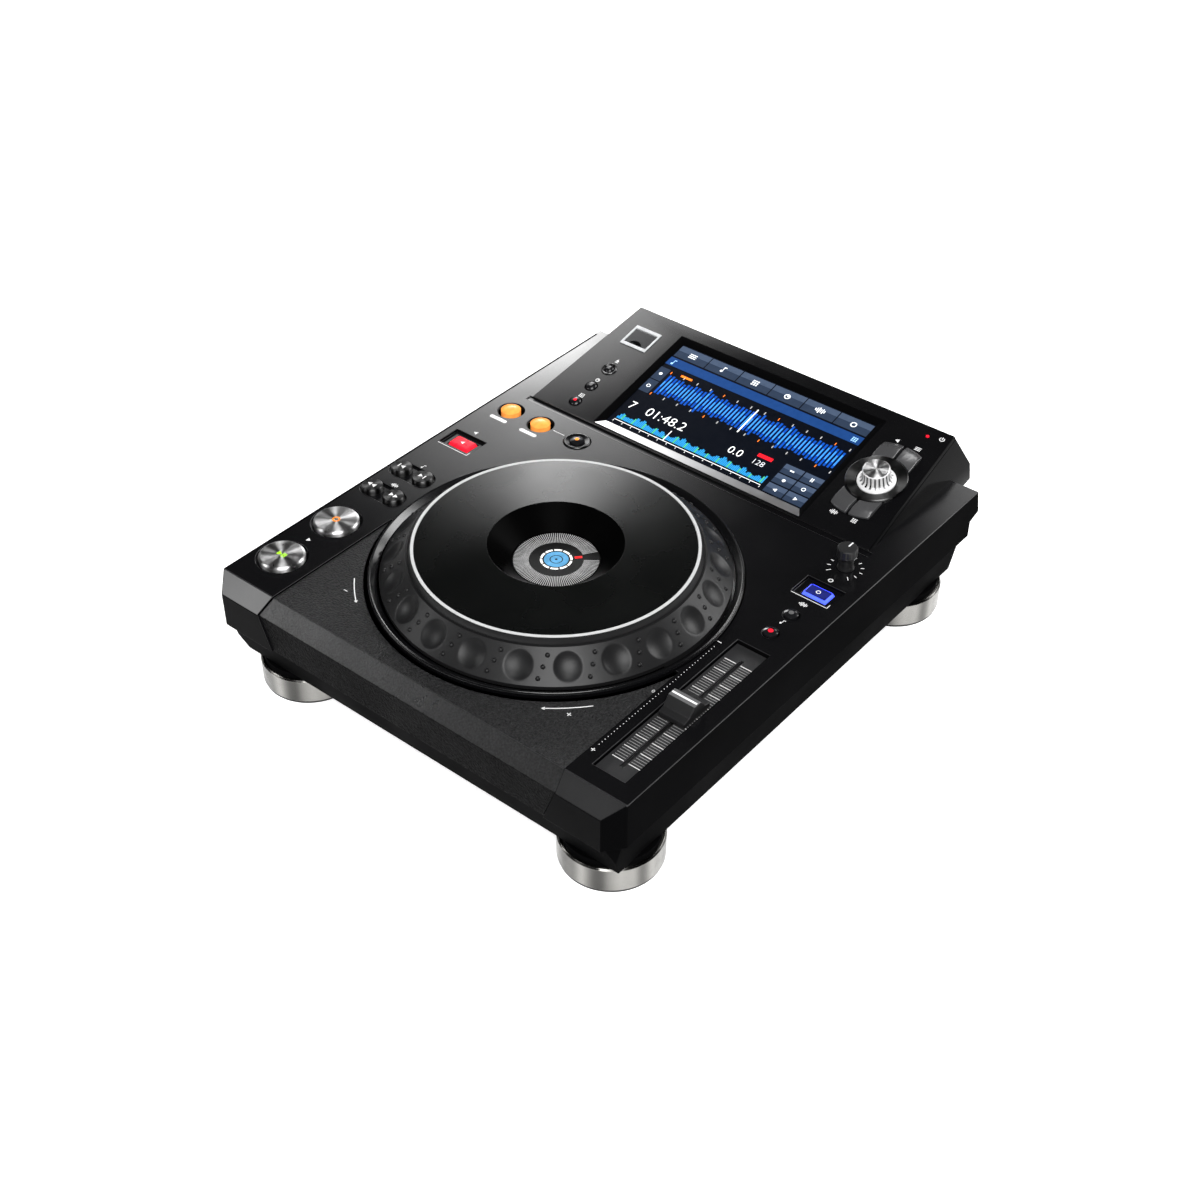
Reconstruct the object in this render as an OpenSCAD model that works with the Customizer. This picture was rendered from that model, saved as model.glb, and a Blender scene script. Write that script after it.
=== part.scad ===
// Table-top media player for disc jockeys: jog wheel, tilted touch screen, tempo fader.
// Millimetres. +X right, +Y to the back, +Z up, floor at Z = 0.

/* [Case] */
// Width over the case
body_w = 306; // [300:1:314]
// Depth from the front face to the back of the display housing
body_d = 390; // [387:1:396]
// Height of the deck above the floor
deck_z = 82; // [80:0.5:86]
// Wall of the upper case
wall = 3.2; // [3:0.1:3.6]
// Forward run of the front slant
slant_run = 11; // [9:0.5:13]
// Drop of the front slant
slant_drop = 8.3; // [6:0.1:10]
// Cut across each front corner, measured sideways
corner_cut = 9; // [6:0.5:11]
// Height of the upper case's lower edge
upper_z = 50.3; // [48:0.1:52]
// Outward lean of the case's rear lip
rear_flare = 4.5; // [3:0.5:6]
// Height of the case's rear lip
rear_lip_h = 17.5; // [15:0.5:19]
// Step under the rear lip
rear_step = 9.5; // [8:0.5:11]
// Height of the lower case's underside
tray_z = 22; // [21:0.5:23]
// Wall of the lower case
tray_wall = 2.5; // [2:0.1:2.8]
// Draw-in of the lower case at the front
tray_front_in = 11; // [8:0.5:12]
// Draw-in of the lower case at each side
tray_side_in = 4.5; // [3:0.5:6]
// Rim of the lower case inside the upper case
tray_rim = 5.5; // [4:0.5:7]
// Room between pieces that stay apart
gap = 0.3; // [0.3:0.05:0.4]
// Room around a button in its hole
button_gap = 0.4; // [0.35:0.05:0.5]
// Radial room of a shaft in its bearing
run_gap = 0.05; // [0.02:0.01:0.09]

/* [Front trim] */
// Room from the case's side to the trim
trim_side = 42.7; // [41:0.1:44]
// Extra width of the trim at the foot of the slant, each side
trim_flare = 2.6; // [1:0.2:4]
// Draw-in of the trim at its lower edge, each side
trim_taper = 6.3; // [4:0.1:9]
// Depth of the trim's face below the case
trim_drop = 1.2; // [0.8:0.1:1.3]
// Thickness of the trim
trim_t = 1; // [0.8:0.1:1.1]
// Groove between the jog's lip ring and the trim
trim_groove = 2.2; // [1.4:0.1:3]

/* [Jog] */
// Room from the deck's front edge to the jog's lip ring
jog_front = 12.7; // [11:0.1:15]
// Room from the jog's lip ring to the display panel
jog_back = 21; // [20:0.1:24]
// Room from the case's side to the dial
jog_side = 48.6; // [48:0.1:50]
// Width of the surround between the dial and the lip ring's outer edge
lip_w = 6.9; // [6.5:0.1:7.4]
// Height of the dial's outer edge above the deck
dial_edge_h = 1.2; // [0.8:0.1:2]
// Width of the dimpled slope, seen from above
slope_w = 15.8; // [14.6:0.1:16.4]
// Height where the dimpled slope starts
slope_h = 16.2; // [15:0.1:16.6]
// Height of the jog's flat top above the deck
jog_h = 20.3; // [19.8:0.1:21]
// Rim of the dial outside the lit ring
ring_rim = 3.5; // [3.2:0.1:4]
// Width of the lit ring
ring_w = 2.3; // [1.8:0.1:2.6]
// Radius of the dish's mouth
dish_r = 40.5; // [39:0.5:42]
// Radius of the centre display
eye_r = 25.7; // [25:0.1:26.4]
// Height of the centre display above the deck
eye_h = 8; // [7.6:0.1:8.6]
// Number of finger dimples
dimple_n = 22; // [18:1:24]
// Radius of the ball that shapes a dimple
dimple_ball = 20; // [18:0.5:22]
// Depth of a dimple
dimple_depth = 2; // [1.5:0.1:2.2]
// Radius of the fixed post
post_r = 20; // [18:0.5:21]
// Height of the lip ring's crest
lip_h = 2.4; // [1.5:0.1:3]
// Depth of the jog's pan below the deck
pan_depth = 14; // [13.6:0.1:15]

/* [Display] */
// Front edge of the display panel, from the deck's rear edge
panel_back = 95.7; // [93:0.1:98]
// Tilt of the display panel in degrees
panel_tilt = 12.3; // [11.5:0.1:13]
// Length of the display panel up its slope
panel_len = 109.2; // [108:0.1:111]
// Front edge of the panel above the deck
panel_lip = 1; // [0.8:0.1:1.4]
// Thickness of the panel
panel_t = 2.5; // [2.3:0.1:2.8]
// Room from the case's side to the display housing
housing_side = 19.7; // [18:0.1:22]
// Draw-in of the display housing's side at its top
housing_lean = 7.8; // [6:0.1:9]
// Reach of the display housing behind the deck
housing_reach = 27; // [26:0.5:29]
// Depth of the housing's skirt below the deck
skirt_h = 15; // [13:0.5:16]
// Wall of the display housing
housing_wall = 2.6; // [2.2:0.1:3]
// Room from the display housing's side to the screen window
screen_side = 56; // [55:0.1:58]
// Room from the screen window to the panel's rear edge
screen_top = 14.9; // [13.5:0.1:16]
// Lower edge of the screen window from the panel's front edge
screen_v = 8.4; // [7.6:0.1:9]
// Width of the bevel at the screen's sides and top
bevel_w = 4.9; // [4:0.1:5.6]
// Width of the silver strip under the screen
strip_w = 7; // [6:0.1:7.2]
// Thickness of the screen glass
glass_t = 1.8; // [1.2:0.1:2]
// Thickness of the LCD module
lcd_t = 5; // [4:0.5:6]
// Left panel column from the display housing's side
panel_left_in = 28.6; // [28:0.1:30]
// Place of the USB lid up the panel
usb_v = 82.3; // [81:0.1:83.4]
// Width of the USB window
usb_w = 18.4; // [17:0.1:19]
// Height of the USB window
usb_l = 14.7; // [14:0.1:15.4]
// Rim of the USB light frame
usb_rim = 1.5; // [1.2:0.1:1.8]
// Thickness of the USB lid
lid_t = 1.6; // [1.4:0.1:2]
// Place of the USB stop button up the panel
stop_v = 47.2; // [46:0.1:48.5]
// Place of the time mode button up the panel
time_v = 27.6; // [26:0.1:29]
// Place of the quantize button up the panel
quant_v = 10.7; // [10.2:0.1:12]
// Radius of the small panel buttons
small_r = 3.9; // [3.4:0.1:4.2]

/* [Selector] */
// Selector from the display housing's side
sel_in = 28.5; // [28:0.1:29.5]
// Place of the selector up the panel
sel_v = 52; // [51:0.1:53.5]
// Radius of the selector knob's skirt
sel_r = 12.6; // [12:0.1:13]
// Radius of the selector knob's top
sel_top_r = 8.6; // [7.5:0.1:9.4]
// Height of the selector knob above the panel
sel_h = 10.8; // [9.5:0.1:11.6]
// Outer radius of the ring around the selector
sel_ring_r = 19.6; // [19:0.1:20]
// Outer radius of the segment buttons
seg_r = 33.3; // [32:0.1:34]
// Half width of a pair of segment buttons
seg_w = 13.8; // [13:0.1:14.4]
// Width of the slot between two segment buttons
seg_slot = 2; // [1.8:0.1:2.6]
// Radius of the selector's shaft
sel_shaft_r = 3; // [2.5:0.1:3.2]

/* [Left controls] */
// Play and cue buttons from the case's side
left_in = 18.6; // [18:0.1:20]
// Search, track, direction and loop buttons from the case's side
inner_in = 19.3; // [19:0.1:20]
// Play button from the deck's front edge
play_in = 29.5; // [28:0.1:31]
// Distance from the play button to the cue button
cue_pitch = 45; // [43:0.5:46]
// Radius of the play and cue buttons
play_r = 14.2; // [13.6:0.1:14.6]
// Distance from the cue button to the search buttons
search_pitch = 39.5; // [38.5:0.5:41]
// Distance from the search buttons to the track buttons
track_pitch = 26.2; // [25:0.1:27]
// Distance between paired buttons
pair_pitch = 18.3; // [18:0.1:18.8]
// Radius of the search and track buttons
search_r = 6.9; // [6.4:0.1:7.1]
// Loop buttons and speed knob from the display panel
loop_in_front = 21.7; // [21:0.1:23]
// Distance from loop in to loop out
loop_pitch = 25.8; // [24:0.1:27]
// Distance from loop out to the reloop button
reloop_pitch = 31.4; // [30:0.1:33]
// Radius of the loop buttons
loop_r = 8.1; // [7.5:0.1:8.4]
// Radius of the reloop button
reloop_r = 4.6; // [4.2:0.1:4.9]

/* [Right controls] */
// Right column from the case's side
right_in = 22.2; // [21.5:0.1:23]
// Radius of the speed knob
speed_r = 6.2; // [5.6:0.1:6.6]
// Height of the speed knob
speed_h = 15.2; // [13:0.1:17]
// Radius of the speed knob's shaft
speed_shaft_r = 3; // [2.5:0.1:3.4]
// Distance from the speed knob to the jog mode button
mode_pitch = 28.6; // [28:0.1:30]
// Distance from the jog mode button to the tempo range button
range_pitch = 28; // [26:0.5:29]
// Distance from the tempo range button to the master tempo button
master_pitch = 20.6; // [19:0.1:22]
// Radius of the two round tempo buttons
tempo_r = 4.3; // [3.8:0.1:4.6]
// Width of a sunk rectangular button's recess
sunk_w = 25.8; // [25:0.1:27]
// Length of a sunk rectangular button's recess
sunk_l = 17; // [16:0.1:18]
// Width of a sunk rectangular button
block_w = 16.2; // [15:0.1:17]
// Length of a sunk rectangular button
block_l = 10.4; // [9.6:0.1:11]
// Fader's recess from the deck's front edge
fader_front = 12.2; // [11.5:0.1:13]
// Fader's recess from the master tempo button
fader_back = 16.5; // [16:0.1:17.5]
// Width of the fader's recess
fader_w = 21.8; // [21:0.1:22.6]
// Length of the fader's recess beyond the cap's travel
fader_spare = 28.7; // [27:0.1:30]
// Width of the fader's cap
cap_w = 17.7; // [16:0.1:18.4]
// Length of the fader's cap
cap_l = 23; // [21:0.5:24]
// Height of the fader's cap above the deck
cap_h = 7.4; // [6:0.1:9]

/* [Feet and rear] */
// Feet from the case's side
foot_side = 34; // [32:0.5:36]
// Front feet from the deck's front edge
foot_front = 29.5; // [27:0.5:32]
// Rear feet from the deck's rear edge
foot_rear = 33.2; // [31:0.1:35]
// Radius of a foot
foot_r = 30.6; // [29:0.1:31.4]
// Height of a foot's metal ring
foot_ring_h = 16.5; // [15:0.5:17]
// Thickness of a foot's rubber pad
foot_pad_t = 1.5; // [1:0.1:2]
// Room from the case's side to the rear connector panel
rear_side = 31; // [29:0.5:34]
// Power inlet, as a share of the rear panel's half width
inlet_at = -0.78; // [-0.8:0.01:-0.76]
// Power switch, as a share of the rear panel's half width
switch_at = -0.46; // [-0.48:0.01:-0.44]
// Network socket, as a share of the rear panel's half width
lan_at = -0.16; // [-0.2:0.01:-0.14]
// Square data socket, as a share of the rear panel's half width
data_at = 0.1; // [0.08:0.01:0.13]
// Digital audio socket, as a share of the rear panel's half width
digital_at = 0.43; // [0.4:0.01:0.46]
// Middle of the audio pair, as a share of the rear panel's half width
audio_at = 0.79; // [0.77:0.01:0.8]
// Distance between the two audio sockets
audio_pitch = 18; // [16:1:19]
// Length of the main board
main_l = 186; // [170:1:190]
// Length of the power board
power_l = 112; // [100:1:116]

/* [Hidden] */
$fn = 96;
big = 400;
cut = 1;

front_y = -body_d / 2;
back_y = body_d / 2;
deck_front_y = front_y + slant_run;
deck_rear_y = back_y - housing_reach;
slant_z = deck_z - slant_drop;
slant_angle = atan(slant_drop / slant_run);
corner_angle = atan(corner_cut / slant_run);
under_z = deck_z - wall;
rear_lip_y = deck_rear_y + rear_flare;
rear_lip_z = deck_z - rear_lip_h;
rear_in_y = rear_lip_y - rear_step;
rear_in_z = rear_lip_z - 3;

tray_front_y = front_y + wall + gap;
tray_rear_y = rear_in_y - wall - gap;
tray_half_w = body_w / 2 - wall - gap;
tray_top_z = upper_z + tray_rim;
floor_z = tray_z + tray_wall;

side_x = body_w / 2;
panel_y = deck_rear_y - panel_back;
dial_by_width = side_x - jog_side;
dial_by_depth = (panel_y - deck_front_y - jog_front - jog_back) / 2 - lip_w;
dial_r = min(dial_by_width, dial_by_depth);
lip_r = dial_r + lip_w;
jog_y = deck_front_y + jog_front + lip_r;
slope_r = dial_r - slope_w;
ring_r = slope_r - ring_rim;
trim_r = lip_r + trim_groove;
trim_w = body_w - 2 * trim_side;
housing_w = body_w - 2 * housing_side;
housing_top_w = housing_w - 2 * housing_lean;
screen_w = housing_w - 2 * screen_side;
screen_l = panel_len - screen_v - screen_top;
panel_left_x = panel_left_in - housing_w / 2;
sel_x = housing_w / 2 - sel_in;
left_x = left_in - side_x;
inner_x = inner_in - side_x;
right_x = side_x - right_in;
play_y = deck_front_y + play_in;
cue_y = play_y + cue_pitch;
search_y = cue_y + search_pitch;
track_y = search_y + track_pitch;
loop_y = panel_y - loop_in_front;
direction_y = (track_y + loop_y) / 2;
speed_y = loop_y;
mode_y = speed_y - mode_pitch;
range_y = mode_y - range_pitch;
master_y = range_y - master_pitch;
fader_front_y = deck_front_y + fader_front;
fader_l = master_y - fader_back - fader_front_y;
fader_y = fader_front_y + fader_l / 2;
fader_travel = fader_l - fader_spare;
foot_x = side_x - foot_side;
foot_front_y = deck_front_y + foot_front;
foot_rear_y = deck_rear_y - foot_rear;
rear_w = side_x - rear_side;
inlet_x = inlet_at * rear_w;
switch_x = switch_at * rear_w;
lan_x = lan_at * rear_w;
data_x = data_at * rear_w;
digital_x = digital_at * rear_w;
audio_x = audio_at * rear_w;
panel_z = deck_z + panel_lip;
panel_top_y = panel_y + panel_len * cos(panel_tilt);
panel_top_z = panel_z + panel_len * sin(panel_tilt);
screen_top_v = screen_v + screen_l;
hatch_half_w = housing_w / 2 - 5.3;
hatch_y = panel_y + 1;
hatch_l = deck_rear_y - 8 - hatch_y;
groove_w = 4.2;

flange_t = 1.2;
play_flange = 0.8;
stem_r = 2;
led_x = sel_x + 6.4;
led_v = panel_len - 8.6;
led_r = 1.1;
stem_z = -11;
switch_top_z = -12.4;
switch_w = 6;
board_t = 1.6;
board_z = -15;
panel_stem_h = -8;
panel_board_h = -11;
dome_edge = 0.4;
recess_d = 0.8;
sunk_d = 2.2;
block_top = -0.8;
slot_w = 2.4;
blade_w = 1.5;
blade_l = 8;
plate_t = 1.2;
track_w = 15;
track_h = 11;
boss_r = 4;
screw_r = 1.3;
screw_head_r = 3;
screw_front = [foot_x - 49, deck_front_y + 13];
screw_rear = [side_x - 16, panel_y + 17.7];
main_board_z = 29;
shelf_z = main_board_z + board_t;
rear_plate_t = 1.5;
socket_gap = 0.2;
inlet_size = [27, 20, 20];
lan_size = [16, 13.5, 17];
data_size = [12, 11, 15];
key_size = [12, 9];
jack_r = 4.2;
jack_z = 7;
inlet_z = tray_z + 6;
key_z = tray_z + 12;
audio_places = [digital_x, audio_x - audio_pitch / 2, audio_x + audio_pitch / 2];
rear_plate_y = tray_rear_y - tray_wall - rear_plate_t;
rear_face_y = rear_plate_y + rear_plate_t;
main_left = lan_x - 36;
main_right = rear_w + 8;
main_back = rear_plate_y - 2.5;
main_front = main_back - main_l;
power_left = boss_r + 2 * gap - screw_rear[0];
power_right = main_left - 12;
power_back = rear_plate_y - 22;
power_front = power_back - power_l;
left_pair = [inner_x - pair_pitch / 2, inner_x + pair_pitch / 2];
loop_out_x = inner_x + loop_pitch;
reloop_x = loop_out_x + reloop_pitch;
pair_neck_r = search_r - 2.4;
pair_recess = 1.6;
trim_tip_y = jog_y - sqrt(trim_r * trim_r - trim_w * trim_w / 4) + gap;
post_x = 12.6;
panel_post_r = 1.8;
pin_r = 0.6;
barrel_r = lid_t / 2;
lid_axis_v = usb_v + usb_l / 2 - barrel_r - gap;

upper_case();
lower_case();
front_trim();
jog_surround();
jog_post();
jog_display();
display_housing();
display_panel();
screen_strip();
screen_glass();
lcd_module();
usb_frame();
usb_socket();
selector_ring();
standby_led();
button_rings();
fader_plate();
fader_unit();
control_boards();
main_board();
power_unit();
rear_panel();
power_inlet();
audio_sockets();
data_sockets();
foot_hubs();
foot_rings();
foot_pads();
case_screws();
jog_dial();
jog_plate();
jog_ring();
play_button();
cue_button();
track_back();
track_next();
search_back();
search_next();
direction_button();
loop_in();
loop_out();
reloop_button();
usb_stop();
time_mode();
quantize_button();
back_button();
tag_button();
filter_button();
shortcut_button();
selector_shaft();
selector_knob();
speed_knob();
jog_mode_button();
tempo_range();
master_tempo();
fader_cap();
usb_lid();
power_switch();

// Places children on the deck.
module on_deck(x, y) {
    translate([x, y, deck_z]) children();
}

// Places children on the tilted display panel: x sideways, y up the slope, z out of it.
module on_panel(x, v) {
    translate([0, panel_y, panel_z]) rotate([panel_tilt, 0, 0]) translate([x, v, 0]) children();
}

// A box given by its middle in x and y, its lower face and its size.
module block(x, y, z, sx, sy, sz) {
    translate([x - sx / 2, y - sy / 2, z]) cube([sx, sy, sz]);
}

// A side view, as points of depth and height, drawn out over a width.
module side_extrude(points, width) {
    rotate([90, 0, 90]) linear_extrude(width, center = true) polygon(points);
}

// A front view, as points of width and height, drawn out over a depth.
module front_extrude(points, depth) {
    rotate([90, 0, 0]) linear_extrude(depth, center = true) polygon(points);
}

// The case's outline from above, set in by i.
function plan(i) = let (
    x1 = body_w / 2 - i,
    y1 = deck_front_y + i * tan(corner_angle / 2),
    x2 = body_w / 2 - corner_cut - i * tan(45 - corner_angle / 2),
    y2 = front_y + i,
    y3 = rear_lip_y + cut - i
) [[x1, y3], [-x1, y3], [-x1, y1], [-x2, y2], [x2, y2], [x1, y1]];

// Foot of the slant and top of the slant, set in by i, as depth and height.
function slant_foot(i) = [front_y + i, slant_z - i * tan(45 - slant_angle / 2)];
function slant_top(i) = [deck_front_y + i * tan(slant_angle / 2), deck_z - i];

// The upper case's side view, set in by i, down to the height z.
function profile(i, z) = [
    [front_y + i, z],
    slant_foot(i),
    slant_top(i),
    [deck_rear_y - i, deck_z - i],
    [rear_lip_y - i, rear_lip_z],
    [rear_in_y - i, rear_in_z],
    [rear_in_y - i, z]
];

module upper_case() {
    color([0.03, 0.03, 0.035]) {
        difference() {
            intersection() {
                translate([0, 0, upper_z]) linear_extrude(deck_z - upper_z) polygon(plan(0));
                side_extrude(profile(0, upper_z), body_w);
            }
            intersection() {
                linear_extrude(deck_z) polygon(plan(wall));
                side_extrude(profile(wall, upper_z - cut), body_w);
            }
            trim_sheet(-cut, trim_drop + trim_t, gap, upper_z - cut, lip_r);
            on_deck(0, jog_y) translate([0, 0, -wall - cut])
                cylinder(r = lip_r + gap, h = wall + 2 * cut);
            block(0, hatch_y + hatch_l / 2, under_z - cut, 2 * hatch_half_w, hatch_l, wall + 2 * cut);
            block(0, panel_y - groove_w / 2, deck_z - recess_d,
                housing_w + groove_w, groove_w, recess_d + cut);
            block(right_x, fader_y, under_z - cut, fader_w, fader_l, wall + 2 * cut);
            deck_holes();
        }
        for (s = [-1, 1]) {
            boss(s * screw_front[0], screw_front[1]);
            boss(s * screw_rear[0], screw_rear[1]);
            for (y = [play_y - 13, (direction_y + loop_y) / 2 - 2]) board_post(left_x + s * post_x, y);
            for (y = [master_y - 4, speed_y - 4]) board_post(right_x + s * post_x, y);
        }
    }
}

// A hollow screw post hanging from the deck to the lower case's floor.
module boss(x, y) {
    difference() {
        translate([x, y, floor_z]) cylinder(r = boss_r, h = under_z - floor_z);
        translate([x, y, floor_z - cut]) cylinder(r = screw_r + run_gap, h = 14 + cut);
    }
}

// A post from the deck down to a control board.
module board_post(x, y) {
    on_deck(x, y) translate([0, 0, board_z]) cylinder(r = stem_r, h = -wall - board_z);
}

// A round hole through the deck with a shallow step around it.
module stepped_hole(x, y, r, step) {
    on_deck(x, y) {
        translate([0, 0, -wall - cut]) cylinder(r = r, h = wall + 2 * cut);
        translate([0, 0, -recess_d]) cylinder(r = r + step, h = recess_d + cut);
    }
}

// The holes and recesses of all buttons on the deck.
module deck_holes() {
    for (y = [play_y, cue_y]) stepped_hole(left_x, y, play_r + button_gap, 1.1);
    for (y = [search_y, track_y]) {
        for (x = left_pair)
            on_deck(x, y) {
                translate([0, 0, -wall - cut]) cylinder(r = pair_neck_r + button_gap, h = wall + 2 * cut);
                translate([0, 0, -pair_recess]) cylinder(r = search_r + 0.9, h = pair_recess + cut);
            }
        block(inner_x, y, deck_z - pair_recess, pair_pitch, 2 * (search_r + 0.9), pair_recess + cut);
    }
    for (x = [inner_x, loop_out_x]) stepped_hole(x, loop_y, loop_r + button_gap, 0.5);
    stepped_hole(reloop_x, loop_y, reloop_r + button_gap, 4);
    for (y = [range_y, master_y]) stepped_hole(right_x, y, tempo_r + button_gap, 0.3);
    for (p = [[inner_x, direction_y], [right_x, mode_y]]) {
        block(p[0], p[1], deck_z - sunk_d, sunk_w, sunk_l, sunk_d + cut);
        block(p[0], p[1], under_z - cut, block_w + 2 * button_gap, block_l + 2 * button_gap, wall + 2 * cut);
    }
    on_deck(right_x, speed_y) translate([0, 0, -wall - cut])
        cylinder(r = speed_shaft_r + run_gap, h = wall + 2 * cut);
}

// The front trim's sheet between two depths, grown sideways by grow, down to z and out to a hole of radius r.
module trim_sheet(o1, o2, grow, z, r) {
    difference() {
        intersection() {
            side_extrude([
                [front_y + o1, z], slant_foot(o1), slant_top(o1), [jog_y, deck_z - o1],
                [jog_y, deck_z - o2], slant_top(o2), slant_foot(o2), [front_y + o2, z]
            ], body_w);
            front_extrude([
                [trim_w / 2 + grow, deck_z + 2 * cut], [-trim_w / 2 - grow, deck_z + 2 * cut],
                [-trim_w / 2 - grow, deck_z], [-trim_w / 2 - trim_flare - grow, slant_z],
                [-trim_w / 2 + trim_taper - grow, z], [trim_w / 2 - trim_taper + grow, z],
                [trim_w / 2 + trim_flare + grow, slant_z], [trim_w / 2 + grow, deck_z]
            ], 2 * body_d);
        }
        translate([0, jog_y, under_z - cut]) cylinder(r = r, h = wall + 3 * cut);
        translate([-body_w / 2, trim_tip_y, under_z - cut]) cube([body_w, big, wall + 3 * cut]);
    }
}

module front_trim() {
    color([0.1, 0.1, 0.105])
        trim_sheet(trim_drop, trim_drop + trim_t, 0, upper_z + gap, trim_r);
}

module lower_case() {
    color([0.045, 0.045, 0.05]) {
        difference() {
            tray_solid(0, tray_z, tray_top_z);
            tray_solid(tray_wall, floor_z, tray_top_z + cut);
            block(0, tray_rear_y, tray_z + 6, 2 * rear_w - 8, 4 * tray_wall, 20);
            for (s = [-1, 1]) {
                for (p = [screw_front, screw_rear])
                    translate([s * p[0], p[1], tray_z - cut]) {
                        cylinder(r = screw_r + gap, h = big / 10);
                        cylinder(r = screw_head_r + gap, h = cut + 1.5);
                    }
            }
        }
        for (x = [main_left + 8, main_right - 8]) {
            for (y = [main_front + 8, main_back - 30]) standoff(x, y);
        }
        for (x = [power_left + 8, power_right - 8]) {
            for (y = [power_front + 8, power_back - 8]) standoff(x, y);
        }
    }
}

// A short post under a circuit board on the lower case's floor.
module standoff(x, y) {
    translate([x, y, floor_z]) cylinder(r = 3.5, h = main_board_z - floor_z);
}

// The lower case's block, set in by i, between two heights.
module tray_solid(i, z1, z2) {
    intersection() {
        side_extrude([
            [tray_front_y + i, z2], [tray_front_y + i, upper_z],
            [tray_front_y + tray_front_in + i, tray_z], [tray_front_y + tray_front_in + i, z1 - cut],
            [tray_rear_y - i, z1 - cut], [tray_rear_y - i, z2]
        ], body_w);
        front_extrude([
            [tray_half_w - i, z2], [-tray_half_w + i, z2], [-tray_half_w + i, upper_z],
            [-tray_half_w + tray_side_in + i, tray_z], [-tray_half_w + tray_side_in + i, z1 - cut],
            [tray_half_w - tray_side_in - i, z1 - cut], [tray_half_w - tray_side_in - i, tray_z],
            [tray_half_w - i, upper_z]
        ], 2 * body_d);
        translate([0, 0, z1]) linear_extrude(z2 - z1) polygon(plan(wall + gap + i));
    }
}

// Turns a profile of radius and height above the deck about the jog's axis.
module jog_turn(points) {
    on_deck(0, jog_y) rotate_extrude() polygon(points);
}

module jog_surround() {
    inner_r = dial_r + 1.4;
    color([0.03, 0.03, 0.035])
        jog_turn([
            [inner_r, -pan_depth + 3], [inner_r, -0.6], [lip_r - 1.7, lip_h - 0.2], [lip_r - 0.7, lip_h],
            [lip_r, lip_h / 2], [lip_r, -wall], [lip_r + 3.7, -wall], [lip_r + 3.7, -wall - 2],
            [inner_r + 2.4, -wall - 2], [inner_r + 2.4, -pan_depth + 3]
        ]);
}

module jog_post() {
    color([0.5, 0.5, 0.52])
        jog_turn([
            [12, -pan_depth], [dial_r + 3.8, -pan_depth], [dial_r + 3.8, -pan_depth + 3],
            [post_r + 3.5, -pan_depth + 3], [post_r + 3.5, -8.4], [post_r, -8.4],
            [post_r, eye_h - 2.8], [12, eye_h - 2.8]
        ]);
}

module jog_display() {
    color([0.35, 0.35, 0.36])
        jog_turn([
            [0, -2], [12 - run_gap, -2], [12 - run_gap, eye_h - 2.8], [eye_r, eye_h - 2.8],
            [eye_r, eye_h], [0, eye_h]
        ]);
}

module jog_dial() {
    hub_r = post_r + run_gap;
    shelf_h = jog_h - 1.8;
    lean = atan((slope_h - dial_edge_h) / (dial_r - slope_r));
    mid_r = (slope_r + dial_r) / 2;
    mid_h = (slope_h + dial_edge_h) / 2;
    away = dimple_ball - dimple_depth;
    color([0.12, 0.12, 0.125])
        difference() {
            jog_turn([
                [hub_r, -8], [post_r + 4, -8], [post_r + 4, 1.5], [slope_r - 4.1, 1.5],
                [slope_r - 4.1, slope_h - 3.7], [slope_r - 0.5, slope_h - 3.7],
                [dial_r - 2.1, dial_edge_h - 2.2], [dial_r - 2.1, -3], [dial_r, -3],
                [dial_r, dial_edge_h],
                [slope_r, slope_h], [slope_r - 1.5, slope_h], [slope_r - 1.5, slope_h + 1],
                [ring_r + 0.4, jog_h - 0.2], [ring_r + 0.1, jog_h - 0.2], [ring_r + 0.1, shelf_h],
                [ring_r - 7, shelf_h], [ring_r - 7, shelf_h - 2], [ring_r - 3, shelf_h - 2],
                [ring_r - 3, 4], [hub_r, 4]
            ]);
            on_deck(0, jog_y)
                for (k = [0 : dimple_n - 1])
                    rotate([0, 0, k * 360 / dimple_n])
                        translate([mid_r + away * sin(lean), 0, mid_h + away * cos(lean)])
                            sphere(r = dimple_ball);
        }
}

module jog_plate() {
    shelf_h = jog_h - 1.8;
    plate_r = ring_r - ring_w - 0.2;
    color([0.05, 0.05, 0.055])
        jog_turn([
            [plate_r, shelf_h], [plate_r, jog_h], [dish_r, jog_h], [eye_r + 0.7, eye_h + 0.2],
            [eye_r + 0.7, eye_h - 1.4], [eye_r + 1.9, eye_h - 1.4], [dish_r + 1, shelf_h]
        ]);
}

module jog_ring() {
    color([0.95, 0.95, 0.95])
        jog_turn([
            [ring_r - ring_w, jog_h - 1.8], [ring_r, jog_h - 1.8], [ring_r, jog_h],
            [ring_r - 0.3, jog_h + 0.2],
            [ring_r - ring_w + 0.3, jog_h + 0.2], [ring_r - ring_w, jog_h]
        ]);
}

// The display housing's outer block, before the panel is taken off it.
module housing_solid() {
    intersection() {
        side_extrude([
            [panel_y, deck_z], [panel_y, panel_z], [panel_top_y, panel_top_z],
            [back_y - 3.6, deck_z + 0.5], [back_y, deck_z - skirt_h + 1.5],
            [back_y - 7, deck_z - skirt_h],
            [deck_rear_y + rear_flare * skirt_h / rear_lip_h + gap, deck_z - skirt_h],
            [deck_rear_y + gap, deck_z]
        ], body_w);
        front_extrude([
            [housing_top_w / 2, panel_top_z], [-housing_top_w / 2, panel_top_z],
            [-housing_w / 2, deck_z], [-housing_w / 2, deck_z - skirt_h],
            [housing_w / 2, deck_z - skirt_h], [housing_w / 2, deck_z]
        ], 2 * body_d);
    }
}

// The half space above the panel's underside.
module panel_space() {
    on_panel(0, 0) translate([-body_w / 2, -20, -panel_t]) cube([body_w, big, big]);
}

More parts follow.
